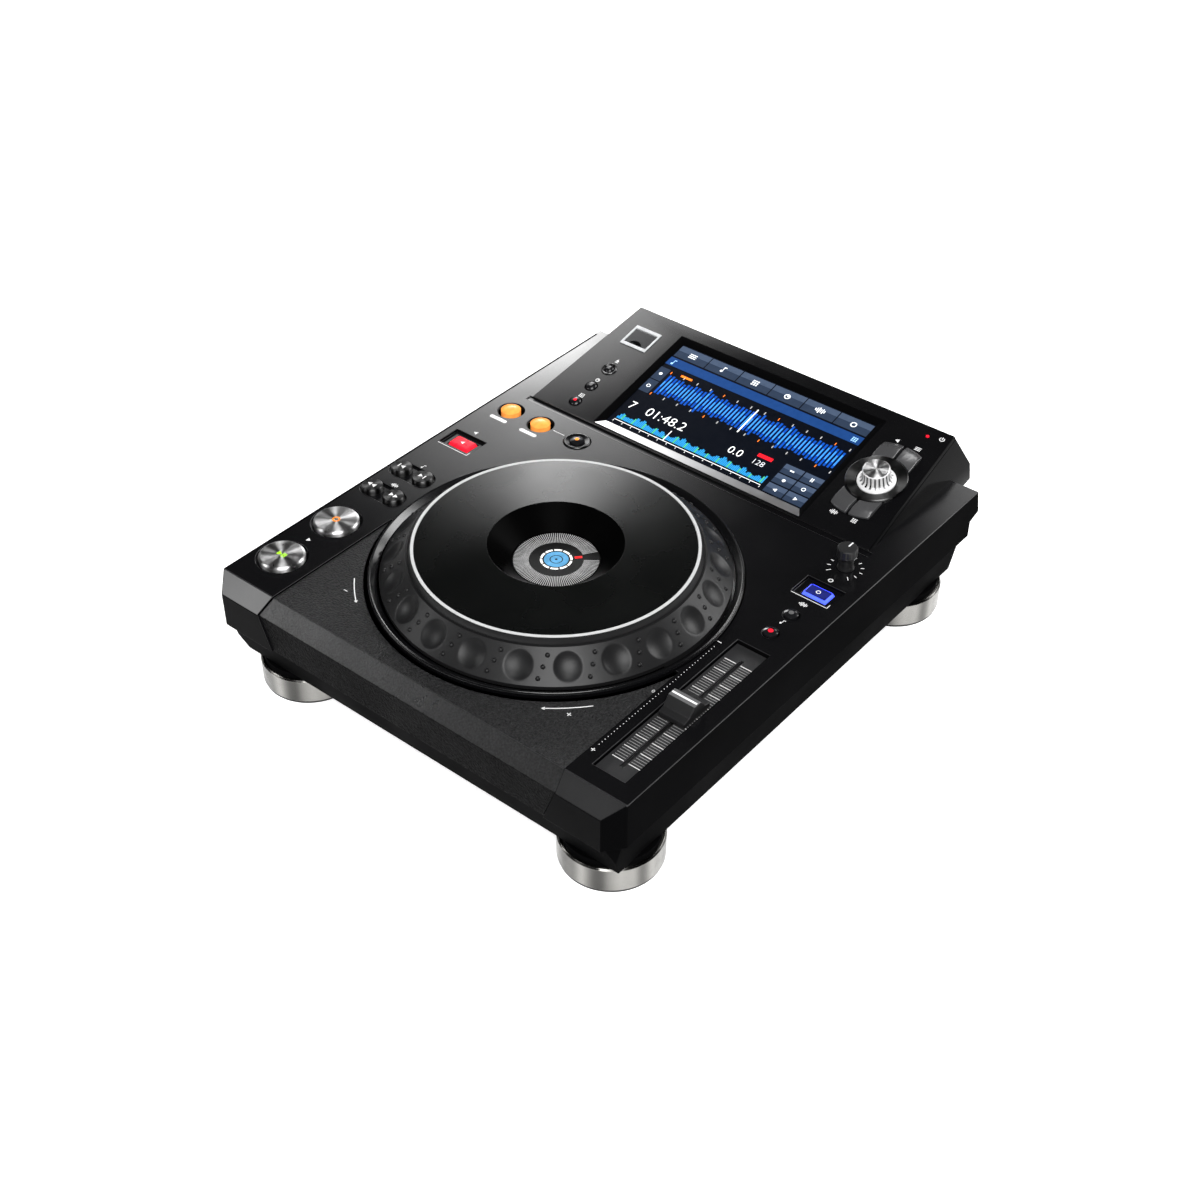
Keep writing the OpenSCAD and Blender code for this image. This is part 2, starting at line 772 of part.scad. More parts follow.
module display_housing() {
    w = housing_wall;
    color([0.04, 0.04, 0.045])
        difference() {
            housing_solid();
            panel_space();
            intersection() {
                side_extrude([
                    [panel_y + w, deck_z - cut], [panel_y + w, panel_z], [panel_top_y - w, panel_top_z],
                    [back_y - 3.6 - w, deck_z + 0.5], [back_y - w, deck_z - skirt_h + w],
                    [deck_rear_y + rear_flare + w + gap, deck_z - skirt_h + w],
                    [deck_rear_y + w + gap, deck_z + cut], [deck_rear_y - w, deck_z + cut],
                    [deck_rear_y - w, deck_z - cut]
                ], body_w);
                front_extrude([
                    [housing_top_w / 2 - w, panel_top_z], [-housing_top_w / 2 + w, panel_top_z],
                    [-housing_w / 2 + w, deck_z], [-housing_w / 2 + w, deck_z - skirt_h],
                    [housing_w / 2 - w, deck_z - skirt_h], [housing_w / 2 - w, deck_z]
                ], 2 * body_d);
            }
        }
}

// The screen's bevelled opening in the panel.
module screen_cut() {
    half = screen_w / 2;
    lip = panel_t - 0.4;
    on_panel(0, 0)
        intersection() {
            front_extrude([
                [half, -panel_t - cut], [half, -lip], [half + bevel_w, 0], [half + bevel_w, cut],
                [-half - bevel_w, cut], [-half - bevel_w, 0], [-half, -lip], [-half, -panel_t - cut]
            ], big);
            side_extrude([
                [screen_v - strip_w, -panel_t - cut], [screen_v - strip_w, cut],
                [screen_top_v + bevel_w, cut],
                [screen_top_v + bevel_w, 0], [screen_top_v, -lip], [screen_top_v, -panel_t - cut]
            ], big);
        }
}

module display_panel() {
    frame_w = usb_w + 2 * (usb_rim - gap);
    frame_l = usb_l + 2 * (usb_rim - gap);
    color([0.025, 0.025, 0.03]) {
        on_panel(sel_x, sel_v)
            for (s = [-1, 1]) {
                for (t = [-1, 1]) panel_post(s * 14.8, t * 33.4);
            }
        on_panel(panel_left_x, 0)
            for (s = [-1, 1]) {
                for (v = [8, 54]) panel_post(s * post_x, v);
            }
        difference() {
            intersection() {
                housing_solid();
                panel_space();
            }
            screen_cut();
            on_panel(panel_left_x, usb_v) block(0, 0, -panel_t - cut, frame_w, frame_l, panel_t + 2 * cut);
            for (v = [time_v, quant_v])
                on_panel(panel_left_x, v) panel_hole(small_r + button_gap);
            on_panel(panel_left_x, stop_v) panel_hole(small_r + button_gap - 0.6);
            on_panel(sel_x, sel_v) {
                panel_hole(sel_r);
                translate([0, 0, -panel_t - cut]) linear_extrude(panel_t + 2 * cut)
                    for (s = [-1, 1]) {
                        for (t = [-1, 1]) scale([s, t]) segment(button_gap);
                    }
            }
            on_panel(led_x, led_v) panel_hole(led_r + 0.1);
        }
    }
}

// A post from the panel down to the board behind it.
module panel_post(x, y) {
    translate([x, y, panel_board_h]) cylinder(r = panel_post_r, h = -panel_t - panel_board_h, $fn = 32);
}

// A round hole through the panel.
module panel_hole(r) {
    translate([0, 0, -panel_t - 3 * cut]) cylinder(r = r, h = panel_t + 5 * cut);
}

// One quarter of the button field around the selector, grown by g.
module segment(g) {
    intersection() {
        difference() {
            circle(r = seg_r + g);
            circle(r = sel_ring_r + 0.6 - g);
        }
        translate([seg_slot / 2 - g, 0]) square([seg_w - seg_slot / 2 + 2 * g, big]);
    }
}

module screen_strip() {
    half = screen_w / 2;
    lip = panel_t - 0.4;
    color([0.8, 0.8, 0.82])
        on_panel(0, 0)
            intersection() {
                side_extrude([
                    [screen_v - strip_w + 0.2, -1], [screen_v - strip_w + 0.2, -0.2],
                    [screen_v, -lip], [screen_v, -panel_t]
                ], screen_w + 2 * bevel_w);
                front_extrude([
                    [half - gap, -panel_t], [half - gap, -lip], [half + bevel_w - gap, 0],
                    [-half - bevel_w + gap, 0], [-half + gap, -lip], [-half + gap, -panel_t]
                ], big);
            }
}

module screen_glass() {
    color([0.02, 0.02, 0.03, 0.9])
        on_panel(0, screen_v + screen_l / 2)
            block(0, 0, -panel_t - glass_t, screen_w + 5, screen_l + 3, glass_t);
}

module lcd_module() {
    color([0.3, 0.3, 0.32])
        on_panel(0, screen_v + screen_l / 2)
            block(0, 0, -panel_t - glass_t - lcd_t, screen_w + 5, screen_l + 3, lcd_t);
}

module usb_frame() {
    outer_w = usb_w + 2 * usb_rim - 0.4 - 2 * gap;
    outer_l = usb_l + 2 * usb_rim - 0.4 - 2 * gap;
    color([0.95, 0.95, 0.95])
        difference() {
            union() {
                on_panel(panel_left_x, usb_v) block(0, 0, 0, usb_w + 2 * usb_rim, usb_l + 5.3, 0.7);
                on_panel(panel_left_x, usb_v) block(0, 0, -5, outer_w, outer_l, 5);
            }
            on_panel(panel_left_x, usb_v) block(0, 0, -5 - cut, usb_w, usb_l, 6 + 2 * cut);
            on_panel(panel_left_x, lid_axis_v) rotate([0, 90, 0])
                translate([0.3, 0, 0])
                    cylinder(r = pin_r + run_gap, h = usb_w + 1.6, center = true, $fn = 24);
        }
}

module usb_lid() {
    lid_w = usb_w - 2 * gap;
    low = usb_v - usb_l / 2 + gap;
    color([0.2, 0.2, 0.21])
        on_panel(panel_left_x, 0) translate([0, 0, -0.3]) {
            difference() {
                union() {
                    translate([-lid_w / 2, low, -barrel_r]) cube([lid_w, lid_axis_v - low, lid_t]);
                    translate([0, lid_axis_v, 0]) rotate([0, 90, 0])
                        cylinder(r = barrel_r, h = lid_w, center = true, $fn = 24);
                }
                translate([0, low - 2.5, -lid_t]) cylinder(r = 6, h = 2 * lid_t);
            }
            translate([0, lid_axis_v, 0]) rotate([0, 90, 0])
                cylinder(r = pin_r, h = usb_w + 1, center = true, $fn = 24);
        }
}

module usb_socket() {
    color([0.7, 0.7, 0.72])
        on_panel(panel_left_x, usb_v) {
            difference() {
                block(0, 0, -17, usb_w + 1, usb_l + 0.6, 12);
                block(0, -0.6, -15, 12.6, 5.2, 10 + cut);
            }
            block(0, 0.9, -15, 11, 1.4, 7);
        }
}

module selector_ring() {
    color([0.02, 0.02, 0.02])
        on_panel(sel_x, sel_v)
            rotate_extrude()
                polygon([
                    [sel_r + button_gap, 0], [sel_ring_r, 0], [sel_ring_r, 1.3], [sel_ring_r - 0.6, 1.8],
                    [sel_r + button_gap + 0.6, 0.9], [sel_r + button_gap, 0.5]
                ]);
}

module selector_shaft() {
    color([0.75, 0.75, 0.77])
        on_panel(sel_x, sel_v) translate([0, 0, -9.5]) cylinder(r = sel_shaft_r, h = 9.5 + sel_h - 2.6);
}

module selector_knob() {
    skirt = 1.5;
    color([0.85, 0.85, 0.86])
        on_panel(sel_x, sel_v)
            difference() {
                rotate_extrude()
                    polygon([
                        [sel_shaft_r + run_gap, skirt], [sel_r, skirt], [sel_r, skirt + 1.4],
                        [sel_r - 1.8, skirt + 2.6], [sel_top_r + 0.3, sel_h - 2.5],
                        [sel_top_r, sel_h - 0.4],
                        [sel_top_r - 0.4, sel_h], [0, sel_h], [0, sel_h - 1.8],
                        [sel_shaft_r + run_gap, sel_h - 1.8]
                    ]);
                for (k = [0 : 15])
                    rotate([0, 0, k * 22.5]) translate([sel_r + 0.9, 0, skirt + 2])
                        cylinder(r = 2.2, h = sel_h, $fn = 24);
            }
}

// A segment button beside the selector: s picks left or right, t picks below or above.
module segment_button(s, t) {
    inner = sel_ring_r + 0.6;
    mid = (inner + seg_r) / 2 + 1.5;
    color([0.3, 0.3, 0.32])
        on_panel(sel_x, sel_v) {
            intersection() {
                rotate_extrude()
                    polygon([[inner, -3.6], [inner, 0.9], [mid, 1.9], [seg_r, 0.6], [seg_r, -3.6]]);
                translate([0, 0, -big / 2]) linear_extrude(big) scale([s, t]) segment(0);
            }
            translate([s * 7, t * (mid - 2), panel_stem_h]) cylinder(r = 1.5, h = -panel_stem_h - 3);
        }
}

module back_button() {
    segment_button(-1, 1);
}

module tag_button() {
    segment_button(1, 1);
}

module filter_button() {
    segment_button(-1, -1);
}

module shortcut_button() {
    segment_button(1, -1);
}

module standby_led() {
    color([0.9, 0.05, 0.05])
        on_panel(led_x, led_v) translate([0, 0, -3]) cylinder(r = led_r, h = 3.2, $fn = 32);
}

// A domed push button: radius, height, thickness of the sheet it comes through and its stem's end.
module dome(r, top, sheet, stem) {
    low = -sheet - gap;
    rotate_extrude()
        polygon([
            [0, top], [r * 0.4, top * 0.95], [r * 0.75, top * 0.68], [r * 0.94, top * 0.3],
            [r, dome_edge * 0.5],
            [r, low], [r + 1.2, low], [r + 1.2, low - flange_t], [stem_r, low - flange_t],
            [stem_r, stem], [0, stem]
        ]);
}

// A flat disc button with a bevelled rim.
module disc_button(y) {
    low = -wall - gap;
    color([0.75, 0.75, 0.76])
        on_deck(left_x, y)
            rotate_extrude()
                polygon([
                    [0, 1.9], [play_r - 1, 2], [play_r, 1.1], [play_r, low], [play_r + play_flange, low],
                    [play_r + play_flange, low - flange_t], [stem_r + 1, low - flange_t],
                    [stem_r + 1, stem_z], [0, stem_z]
                ]);
}

module play_button() {
    disc_button(play_y);
}

module cue_button() {
    disc_button(cue_y);
}

// A round domed button on the deck.
module deck_dome(x, y, r, top) {
    on_deck(x, y) dome(r, top, wall, stem_z);
}

// One of a pair of domed buttons, on a neck narrower than its cap.
module pair_button(x, y) {
    low = -wall - gap;
    top = 2.4;
    color([0.2, 0.2, 0.21])
        on_deck(x, y)
            rotate_extrude()
                polygon([
                    [0, top], [search_r * 0.4, top * 0.95], [search_r * 0.75, top * 0.68],
                    [search_r * 0.94, top * 0.3],
                    [search_r, dome_edge * 0.5], [search_r, -dome_edge], [pair_neck_r, -dome_edge],
                    [pair_neck_r, low], [pair_neck_r + 1.2, low], [pair_neck_r + 1.2, low - flange_t],
                    [stem_r, low - flange_t], [stem_r, stem_z], [0, stem_z]
                ]);
}

module track_back() {
    pair_button(left_pair[0], track_y);
}

module track_next() {
    pair_button(left_pair[1], track_y);
}

module search_back() {
    pair_button(left_pair[0], search_y);
}

module search_next() {
    pair_button(left_pair[1], search_y);
}

module loop_in() {
    color([0.95, 0.55, 0.15]) deck_dome(inner_x, loop_y, loop_r, 2.6);
}

module loop_out() {
    color([0.95, 0.55, 0.15]) deck_dome(loop_out_x, loop_y, loop_r, 2.6);
}

module reloop_button() {
    color([0.1, 0.1, 0.1]) deck_dome(reloop_x, loop_y, reloop_r, 2);
}

module tempo_range() {
    color([0.06, 0.06, 0.06]) deck_dome(right_x, range_y, tempo_r, 1.8);
}

module master_tempo() {
    color([0.06, 0.06, 0.06]) deck_dome(right_x, master_y, tempo_r, 1.8);
}

module usb_stop() {
    color([0.1, 0.1, 0.1]) on_panel(panel_left_x, stop_v) dome(small_r - 0.6, 1.6, panel_t, panel_stem_h);
}

module time_mode() {
    color([0.1, 0.1, 0.1]) on_panel(panel_left_x, time_v) dome(small_r, 1.7, panel_t, panel_stem_h);
}

module quantize_button() {
    color([0.1, 0.1, 0.1]) on_panel(panel_left_x, quant_v) dome(small_r, 1.7, panel_t, panel_stem_h);
}

// A sunk rectangular button with bevelled edges.
module block_button(x, y) {
    low = -wall - gap;
    b = 0.9;
    on_deck(x, y) {
        intersection() {
            side_extrude([
                [block_l / 2, low], [block_l / 2, block_top - b], [block_l / 2 - b, block_top],
                [-block_l / 2 + b, block_top], [-block_l / 2, block_top - b], [-block_l / 2, low]
            ], block_w);
            front_extrude([
                [block_w / 2, low], [block_w / 2, block_top - b], [block_w / 2 - b, block_top],
                [-block_w / 2 + b, block_top], [-block_w / 2, block_top - b], [-block_w / 2, low]
            ], block_l);
        }
        block(0, 0, low - flange_t, block_w + 2, block_l + 2, flange_t);
        translate([0, 0, stem_z]) cylinder(r = stem_r, h = low - flange_t - stem_z);
    }
}

module direction_button() {
    color([0.9, 0.08, 0.12]) block_button(inner_x, direction_y);
}

module jog_mode_button() {
    color([0.2, 0.3, 0.95]) block_button(right_x, mode_y);
}

// Rings around the reloop button on the deck and the USB stop button on the panel.
module button_rings() {
    color([0.02, 0.02, 0.02]) {
        on_deck(reloop_x, loop_y)
            rotate_extrude()
                polygon([
                    [reloop_r + button_gap, -recess_d], [reloop_r + button_gap + 3.8, -recess_d],
                    [reloop_r + button_gap + 3.8, 0.5], [reloop_r + button_gap + 3, 0.9],
                    [reloop_r + button_gap, 0]
                ]);
        on_panel(panel_left_x, stop_v)
            rotate_extrude()
                polygon([
                    [small_r - 0.6 + button_gap, 0], [small_r + 1.6, 0], [small_r + 1.6, 0.5],
                    [small_r + 1.1, 0.9], [small_r - 0.6 + button_gap, 0.3]
                ]);
    }
}

module speed_knob() {
    color([0.08, 0.08, 0.08])
        on_deck(right_x, speed_y)
            difference() {
                rotate_extrude()
                    polygon([
                        [0, speed_h], [speed_r - 0.5, speed_h], [speed_r, speed_h - 0.5],
                        [speed_r, speed_h - 5.6],
                        [speed_r - 1.6, speed_h - 7.6], [speed_r - 1.8, 3], [speed_r - 1, 0.5],
                        [speed_r - 1, gap], [speed_shaft_r, gap], [speed_shaft_r, -8], [0, -8]
                    ]);
                for (k = [0 : 11])
                    rotate([0, 0, k * 30]) translate([speed_r + 0.5, 0, speed_h - 5])
                        cylinder(r = 0.9, h = 6, $fn = 16);
            }
}

module fader_plate() {
    color([0.25, 0.25, 0.26])
        on_deck(right_x, fader_y)
            difference() {
                block(0, 0, -wall - plate_t, fader_w + 6, fader_l + 6, plate_t);
                block(0, 0, -wall - plate_t - cut, slot_w, fader_travel + blade_l, plate_t + 2 * cut);
            }
}

module fader_unit() {
    top = -wall - plate_t;
    color([0.6, 0.6, 0.62])
        on_deck(right_x, fader_y)
            difference() {
                block(0, 0, top - track_h, track_w, fader_l + 2, track_h);
                block(0, 0, top - track_h + 1.5, 5, fader_travel + blade_l + 8, track_h);
            }
}

module fader_cap() {
    half = cap_l / 2;
    low = -wall + gap + 0.5;
    color([0.3, 0.3, 0.31])
        on_deck(right_x, fader_y) {
            side_extrude([
                [-half, low], [-half, 0.8], [-half + 4.4, 2], [-3.4, cap_h - 0.6], [-2.8, cap_h],
                [2.8, cap_h], [3.4, cap_h - 0.6], [half - 4.4, 2], [half, 0.8], [half, low]
            ], cap_w);
            block(0, 0, -wall - plate_t - 7, blade_w, blade_l, 10);
        }
}

// A circuit board on the deck's side, given by its middle and size, with switch bodies under the buttons.
module control_boards() {
    left_front = play_y - 16;
    left_back = loop_y + 12;
    color([0.05, 0.25, 0.12]) {
        on_deck(0, 0) {
            block(left_x, (left_front + left_back) / 2, board_z - board_t, 30, left_back - left_front, board_t);
            block((left_x + 15 + reloop_x + 11) / 2, loop_y, board_z - board_t,
                reloop_x + 11 - left_x - 15, 23, board_t);
            block(right_x + 1, (range_y + mode_y) / 2, board_z - board_t, 30, mode_y - range_y + 60, board_t);
            for (y = [play_y, cue_y]) switch_body(left_x, y);
            switch_body(inner_x, direction_y);
            for (y = [search_y, track_y]) {
                for (x = left_pair) switch_body(x, y);
            }
            for (x = [inner_x, loop_out_x, reloop_x]) switch_body(x, loop_y);
            for (y = [mode_y, range_y, master_y]) switch_body(right_x, y);
        }
        on_panel(panel_left_x, 0) {
            block(0, 31, panel_board_h - board_t, 30, 54, board_t);
            for (v = [stop_v, time_v, quant_v]) block(0, v, panel_board_h, switch_w, switch_w, 1.8);
        }
        on_panel(sel_x, sel_v) {
            block(0, 0, panel_board_h - board_t, 34, 72, board_t);
            difference() {
                block(0, 0, panel_board_h, 13, 13, 6);
                translate([0, 0, panel_board_h + 0.6]) cylinder(r = sel_shaft_r + run_gap, h = 8);
            }
            for (s = [-1, 1]) {
                for (t = [-1, 1]) block(s * 7, t * 26.5, panel_board_h, switch_w, switch_w, 1.8);
            }
        }
    }
}

// One push switch on a control board under the deck.
module switch_body(x, y) {
    block(x, y, board_z, switch_w, switch_w, switch_top_z - board_z);
}

module main_board() {
    color([0.05, 0.25, 0.12]) {
        mid_x = (main_left + main_right) / 2;
        mid_y = (main_front + main_back) / 2;
        block(mid_x, mid_y, main_board_z, main_right - main_left, main_l, board_t);
        block(mid_x - 8, mid_y - 20, shelf_z, 32, 32, 2.5);
        block(mid_x + 42, mid_y + 10, shelf_z, 24, 24, 2);
        block(mid_x - 56, mid_y + 10, shelf_z, 20, 28, 3);
    }
}

module power_unit() {
    color([0.3, 0.3, 0.15]) {
        mid_x = (power_left + power_right) / 2;
        mid_y = (power_front + power_back) / 2;
        block(mid_x, mid_y, main_board_z, power_right - power_left, power_l, board_t);
        block(mid_x, mid_y - 8, shelf_z, 34, 40, 22);
        block(mid_x - 18, mid_y + 32, shelf_z, 16, 18, 20);
        translate([mid_x + 18, mid_y + 34, shelf_z]) cylinder(r = 8, h = 24);
    }
}

module rear_panel() {
    color([0.06, 0.06, 0.065])
        difference() {
            block(0, rear_plate_y + rear_plate_t / 2, tray_z + 4, 2 * rear_w, rear_plate_t, 24);
            rear_hole(inlet_x, inlet_z, inlet_size, socket_gap);
            rear_hole(switch_x, key_z, key_size, button_gap);
            rear_hole(lan_x, shelf_z, lan_size, socket_gap);
            rear_hole(data_x, shelf_z, data_size, socket_gap);
            for (x = audio_places)
                translate([x, rear_plate_y - cut, shelf_z + jack_z]) rotate([-90, 0, 0])
                    cylinder(r = jack_r + socket_gap, h = rear_plate_t + 2 * cut, $fn = 48);
        }
}

// A hole through the rear panel round what sits in it, with room g.
module rear_hole(x, z, size, g) {
    block(x, rear_plate_y + rear_plate_t / 2, z - g, size[0] + 2 * g, rear_plate_t + 2 * cut, size[1] + 2 * g);
}

// A socket body open to the back: its middle, lower face, size and wall, with the mouth of the given height.
module socket(x, z, size, side, sill, mouth) {
    depth = size[2];
    translate([x - size[0] / 2, rear_face_y + 0.6 - depth, z])
        difference() {
            cube([size[0], depth, size[1]]);
            translate([side, 4, sill]) cube([size[0] - 2 * side, depth, mouth]);
        }
}

module power_inlet() {
    color([0.05, 0.05, 0.05]) {
        socket(inlet_x, inlet_z, inlet_size, 2, 2, 16);
        for (p = [[-7, 6], [7, 6], [0, 10]])
            translate([inlet_x + p[0] - 1, rear_face_y - 16, inlet_z + p[1]]) cube([2, 10, 4]);
    }
}

module power_switch() {
    color([0.12, 0.12, 0.12]) {
        block(switch_x, rear_plate_y + 2, key_z, key_size[0], 12, key_size[1]);
        block(switch_x, rear_plate_y - gap - 4, key_z - 1, key_size[0] + 3, 8, key_size[1] + 2);
    }
}

module audio_sockets() {
    color([0.8, 0.8, 0.8])
        for (x = audio_places)
            difference() {
                union() {
                    block(x, rear_plate_y - 6, shelf_z, 13, 12, 2 * jack_z);
                    translate([x, rear_plate_y - cut, shelf_z + jack_z]) rotate([-90, 0, 0])
                        cylinder(r = jack_r, h = rear_plate_t + cut + 6, $fn = 48);
                }
                translate([x, rear_plate_y - 6, shelf_z + jack_z]) rotate([-90, 0, 0])
                    cylinder(r = jack_r - 2.5, h = 20, $fn = 32);
            }
}

module data_sockets() {
    color([0.65, 0.65, 0.67]) {
        socket(lan_x, shelf_z, lan_size, 2.1, 2.6, 8.4);
        socket(data_x, shelf_z, data_size, 1.7, 1.6, 7.8);
    }
}

// Places children at the four feet.
module at_feet() {
    for (s = [-1, 1]) {
        for (y = [foot_front_y, foot_rear_y]) translate([s * foot_x, y, 0]) children();
    }
}

module foot_hubs() {
    top = foot_pad_t + foot_ring_h;
    color([0.04, 0.04, 0.04])
        at_feet() {
            translate([0, 0, top]) cylinder(r = foot_r - 2.2, h = tray_z - top);
            translate([0, 0, foot_pad_t]) cylinder(r = foot_r - 4.2, h = foot_ring_h);
        }
}

module foot_rings() {
    color([0.75, 0.75, 0.74])
        at_feet() translate([0, 0, foot_pad_t])
            rotate_extrude()
                polygon([
                    [foot_r - 4, 0], [foot_r - 0.5, 0], [foot_r, 0.5], [foot_r, foot_ring_h - 0.8],
                    [foot_r - 0.8, foot_ring_h], [foot_r - 4, foot_ring_h]
                ]);
}

module foot_pads() {
    color([0.02, 0.02, 0.02]) at_feet() cylinder(r = foot_r - 0.8, h = foot_pad_t);
}

module case_screws() {
    color([0.3, 0.3, 0.3])
        for (s = [-1, 1]) {
            for (p = [screw_front, screw_rear])
                translate([s * p[0], p[1], tray_z]) {
                    difference() {
                        cylinder(r = screw_head_r, h = 1.5, $fn = 48);
                        translate([-1.8, -0.4, -cut]) cube([3.6, 0.8, cut + 0.7]);
                        translate([-0.4, -1.8, -cut]) cube([0.8, 3.6, cut + 0.7]);
                    }
                    translate([0, 0, 1.5]) cylinder(r = screw_r, h = 12, $fn = 32);
                }
        }
}
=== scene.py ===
"""Looks of a table-top media player for disc jockeys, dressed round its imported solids.

Everything is in metres in the solids' own frame: +X right, +Y to the back, +Z up.
"""

import logging
import math
from collections.abc import Sequence
from dataclasses import dataclass, field, replace
from enum import Enum

import bmesh
import bpy
from mathutils import Matrix, Vector


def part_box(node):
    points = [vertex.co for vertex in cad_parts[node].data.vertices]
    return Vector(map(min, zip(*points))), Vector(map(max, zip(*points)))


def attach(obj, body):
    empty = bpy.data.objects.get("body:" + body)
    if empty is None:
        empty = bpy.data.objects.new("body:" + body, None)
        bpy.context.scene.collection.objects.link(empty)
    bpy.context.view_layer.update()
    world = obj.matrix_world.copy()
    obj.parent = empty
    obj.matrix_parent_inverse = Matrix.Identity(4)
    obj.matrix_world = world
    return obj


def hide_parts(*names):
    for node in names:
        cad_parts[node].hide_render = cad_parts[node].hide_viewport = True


MM = 0.001
TURN = 2 * math.pi
UP = Vector((0, 0, 1))
LEFT = Vector((-1, 0, 0))
REAR = Vector((0, 1, 0))
FRONT = Vector((0, -1, 0))
NOISE_LOW, NOISE_HIGH = 0.3, 0.7
MIX_DARK, MIX_LIGHT, MIX_RESULT = 6, 7, 2  # places of a mix node's colour sockets
WELD = 1e-7
SOLID_WELD = 2e-6
ON_AXIS = 1e-6
FLAT_ANGLE = math.radians(0.5)
ROUNDED_ANGLE = math.radians(28)
SHARP_ANGLE = math.radians(42)
LOG = logging.getLogger("media_player")
Color = tuple[float, float, float]
Point = tuple[float, float]
Socket = bpy.types.NodeSocket
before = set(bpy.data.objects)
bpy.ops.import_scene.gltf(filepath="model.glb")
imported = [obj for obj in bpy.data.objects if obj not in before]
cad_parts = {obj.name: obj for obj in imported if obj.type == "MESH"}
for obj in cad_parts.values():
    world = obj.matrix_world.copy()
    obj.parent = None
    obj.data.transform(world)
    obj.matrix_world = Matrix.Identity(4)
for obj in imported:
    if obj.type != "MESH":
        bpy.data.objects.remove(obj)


class Shader:
    """One node material under construction."""

    def __init__(self, name: str) -> None:
        """Start a material with an empty Principled surface."""
        self.material = bpy.data.materials.new(name)
        self.material.use_nodes = True
        self.tree = self.material.node_tree
        self.surface = self.tree.nodes["Principled BSDF"]

    def add(self, kind: str, **settings: object) -> bpy.types.Node:
        """Add a node and set its properties.

        Args:
            kind: Blender's name of the node type.
            settings: Properties of the node.

        Returns:
            The new node.
        """
        made = self.tree.nodes.new(kind)
        for key, value in settings.items():
            setattr(made, key, value)
        return made

    def feed(self, target: Socket, source: object) -> None:
        """Link a socket into another, or set a plain value on it."""
        if isinstance(source, Socket):
            self.tree.links.new(source, target)
        else:
            target.default_value = source

    def fix(self, **values: object) -> None:
        """Set plain values on the surface, with _ for the spaces in a socket's name."""
        for key, value in values.items():
            self.surface.inputs[key.replace("_", " ")].default_value = value

    def drive(self, key: str, source: object) -> None:
        """Feed an input of the surface."""
        self.feed(self.surface.inputs[key], source)

    def place(self) -> Socket:
        """Give Object coordinates."""
        return self.add("ShaderNodeTexCoord").outputs["Object"]

    def noise(self, scale: float, detail: float) -> Socket:
        """Give a soft random pattern.

        Args:
            scale: Grains in a metre.
            detail: Number of finer octaves.

        Returns:
            The pattern's socket, mostly between NOISE_LOW and NOISE_HIGH.
        """
        made = self.add("ShaderNodeTexNoise")
        self.feed(made.inputs["Vector"], self.place())
        self.feed(made.inputs["Scale"], scale)
        self.feed(made.inputs["Detail"], detail)
        return made.outputs["Fac"]

    def spread(self, source: Socket, low: float, high: float) -> Socket:
        """Map a noise pattern's usual span onto low to high."""
        made = self.add("ShaderNodeMapRange")
        self.feed(made.inputs["Value"], source)
        spans = {"From Min": NOISE_LOW, "From Max": NOISE_HIGH, "To Min": low, "To Max": high}
        for key, value in spans.items():
            self.feed(made.inputs[key], value)
        return made.outputs["Result"]

    def tint(self, source: Socket, color: Color, sway: float) -> Socket:
        """Let a pattern darken and lighten a colour by the share sway."""
        made = self.add("ShaderNodeMix", data_type="RGBA")
        self.feed(made.inputs["Factor"], self.spread(source, 0, 1))
        self.feed(made.inputs[MIX_DARK], [c * (1 - sway) for c in color] + [1])
        self.feed(made.inputs[MIX_LIGHT], [min(1, c * (1 + sway)) for c in color] + [1])
        return made.outputs[MIX_RESULT]

    def bump(
        self, height: Socket, depth: float, under: Socket | None = None
    ) -> None:
        """Raise the surface by a pattern.

        Args:
            height: The pattern.
            depth: Its depth in metres.
            under: Normal of the surface below, where it isn't the mesh's own.
        """
        made = self.add("ShaderNodeBump")
        self.feed(made.inputs["Height"], height)
        self.feed(made.inputs["Distance"], depth)
        if under:
            self.feed(made.inputs["Normal"], under)
        self.drive("Normal", made.outputs["Normal"])

    def crown(self, centre: Color, lean: float) -> Socket:
        """Give the normal of a plate that falls away from its middle by a small lean."""
        away = self.vector("SUBTRACT", self.place(), centre).outputs[0]
        flat = self.vector("NORMALIZE", self.vector("MULTIPLY", away, (1, 1, 0)).outputs[0]).outputs[0]
        return self.leaned(flat, lean)

    def leaned(self, way: Socket, lean: object) -> Socket:
        """Give the surface's normal, leaned along a way of the object by a share."""
        turned = self.to_world(self.vector("SCALE", way, scale=lean).outputs[0])
        facing = self.add("ShaderNodeNewGeometry").outputs["Normal"]
        return self.vector("NORMALIZE", self.vector("ADD", facing, turned).outputs[0]).outputs[0]

    def to_world(self, way: Socket) -> Socket:
        """Turn a way of the object into one of the room."""
        made = self.add(
            "ShaderNodeVectorTransform", vector_type="VECTOR", convert_from="OBJECT", convert_to="WORLD"
        )
        self.feed(made.inputs[0], way)
        return made.outputs[0]

    def vector(self, operation: str, *sources: object, scale: object = None) -> bpy.types.Node:
        """Add one step of vector arithmetic.

        Args:
            operation: The arithmetic's name.
            sources: What goes in.
            scale: The factor of a SCALE step.

        Returns:
            The node.
        """
        made = self.add("ShaderNodeVectorMath", operation=operation)
        for socket, source in zip(made.inputs, sources):
            self.feed(socket, source)
        if scale is not None:
            self.feed(made.inputs["Scale"], scale)
        return made


MADE: dict[str, bpy.types.Material] = {}


@dataclass(frozen=True)
class Finish:
    """What every finish has: a name and a colour."""

    name: str
    color: Color

    def material(self) -> bpy.types.Material:
        """Give the finish's material, made once."""
        if self.name not in MADE:
            shader = Shader(self.name)
            self.paint(shader)
            MADE[self.name] = shader.material
        return MADE[self.name]

    def paint(self, shader: Shader) -> None:
        """Lay the finish's nodes."""
        raise NotImplementedError


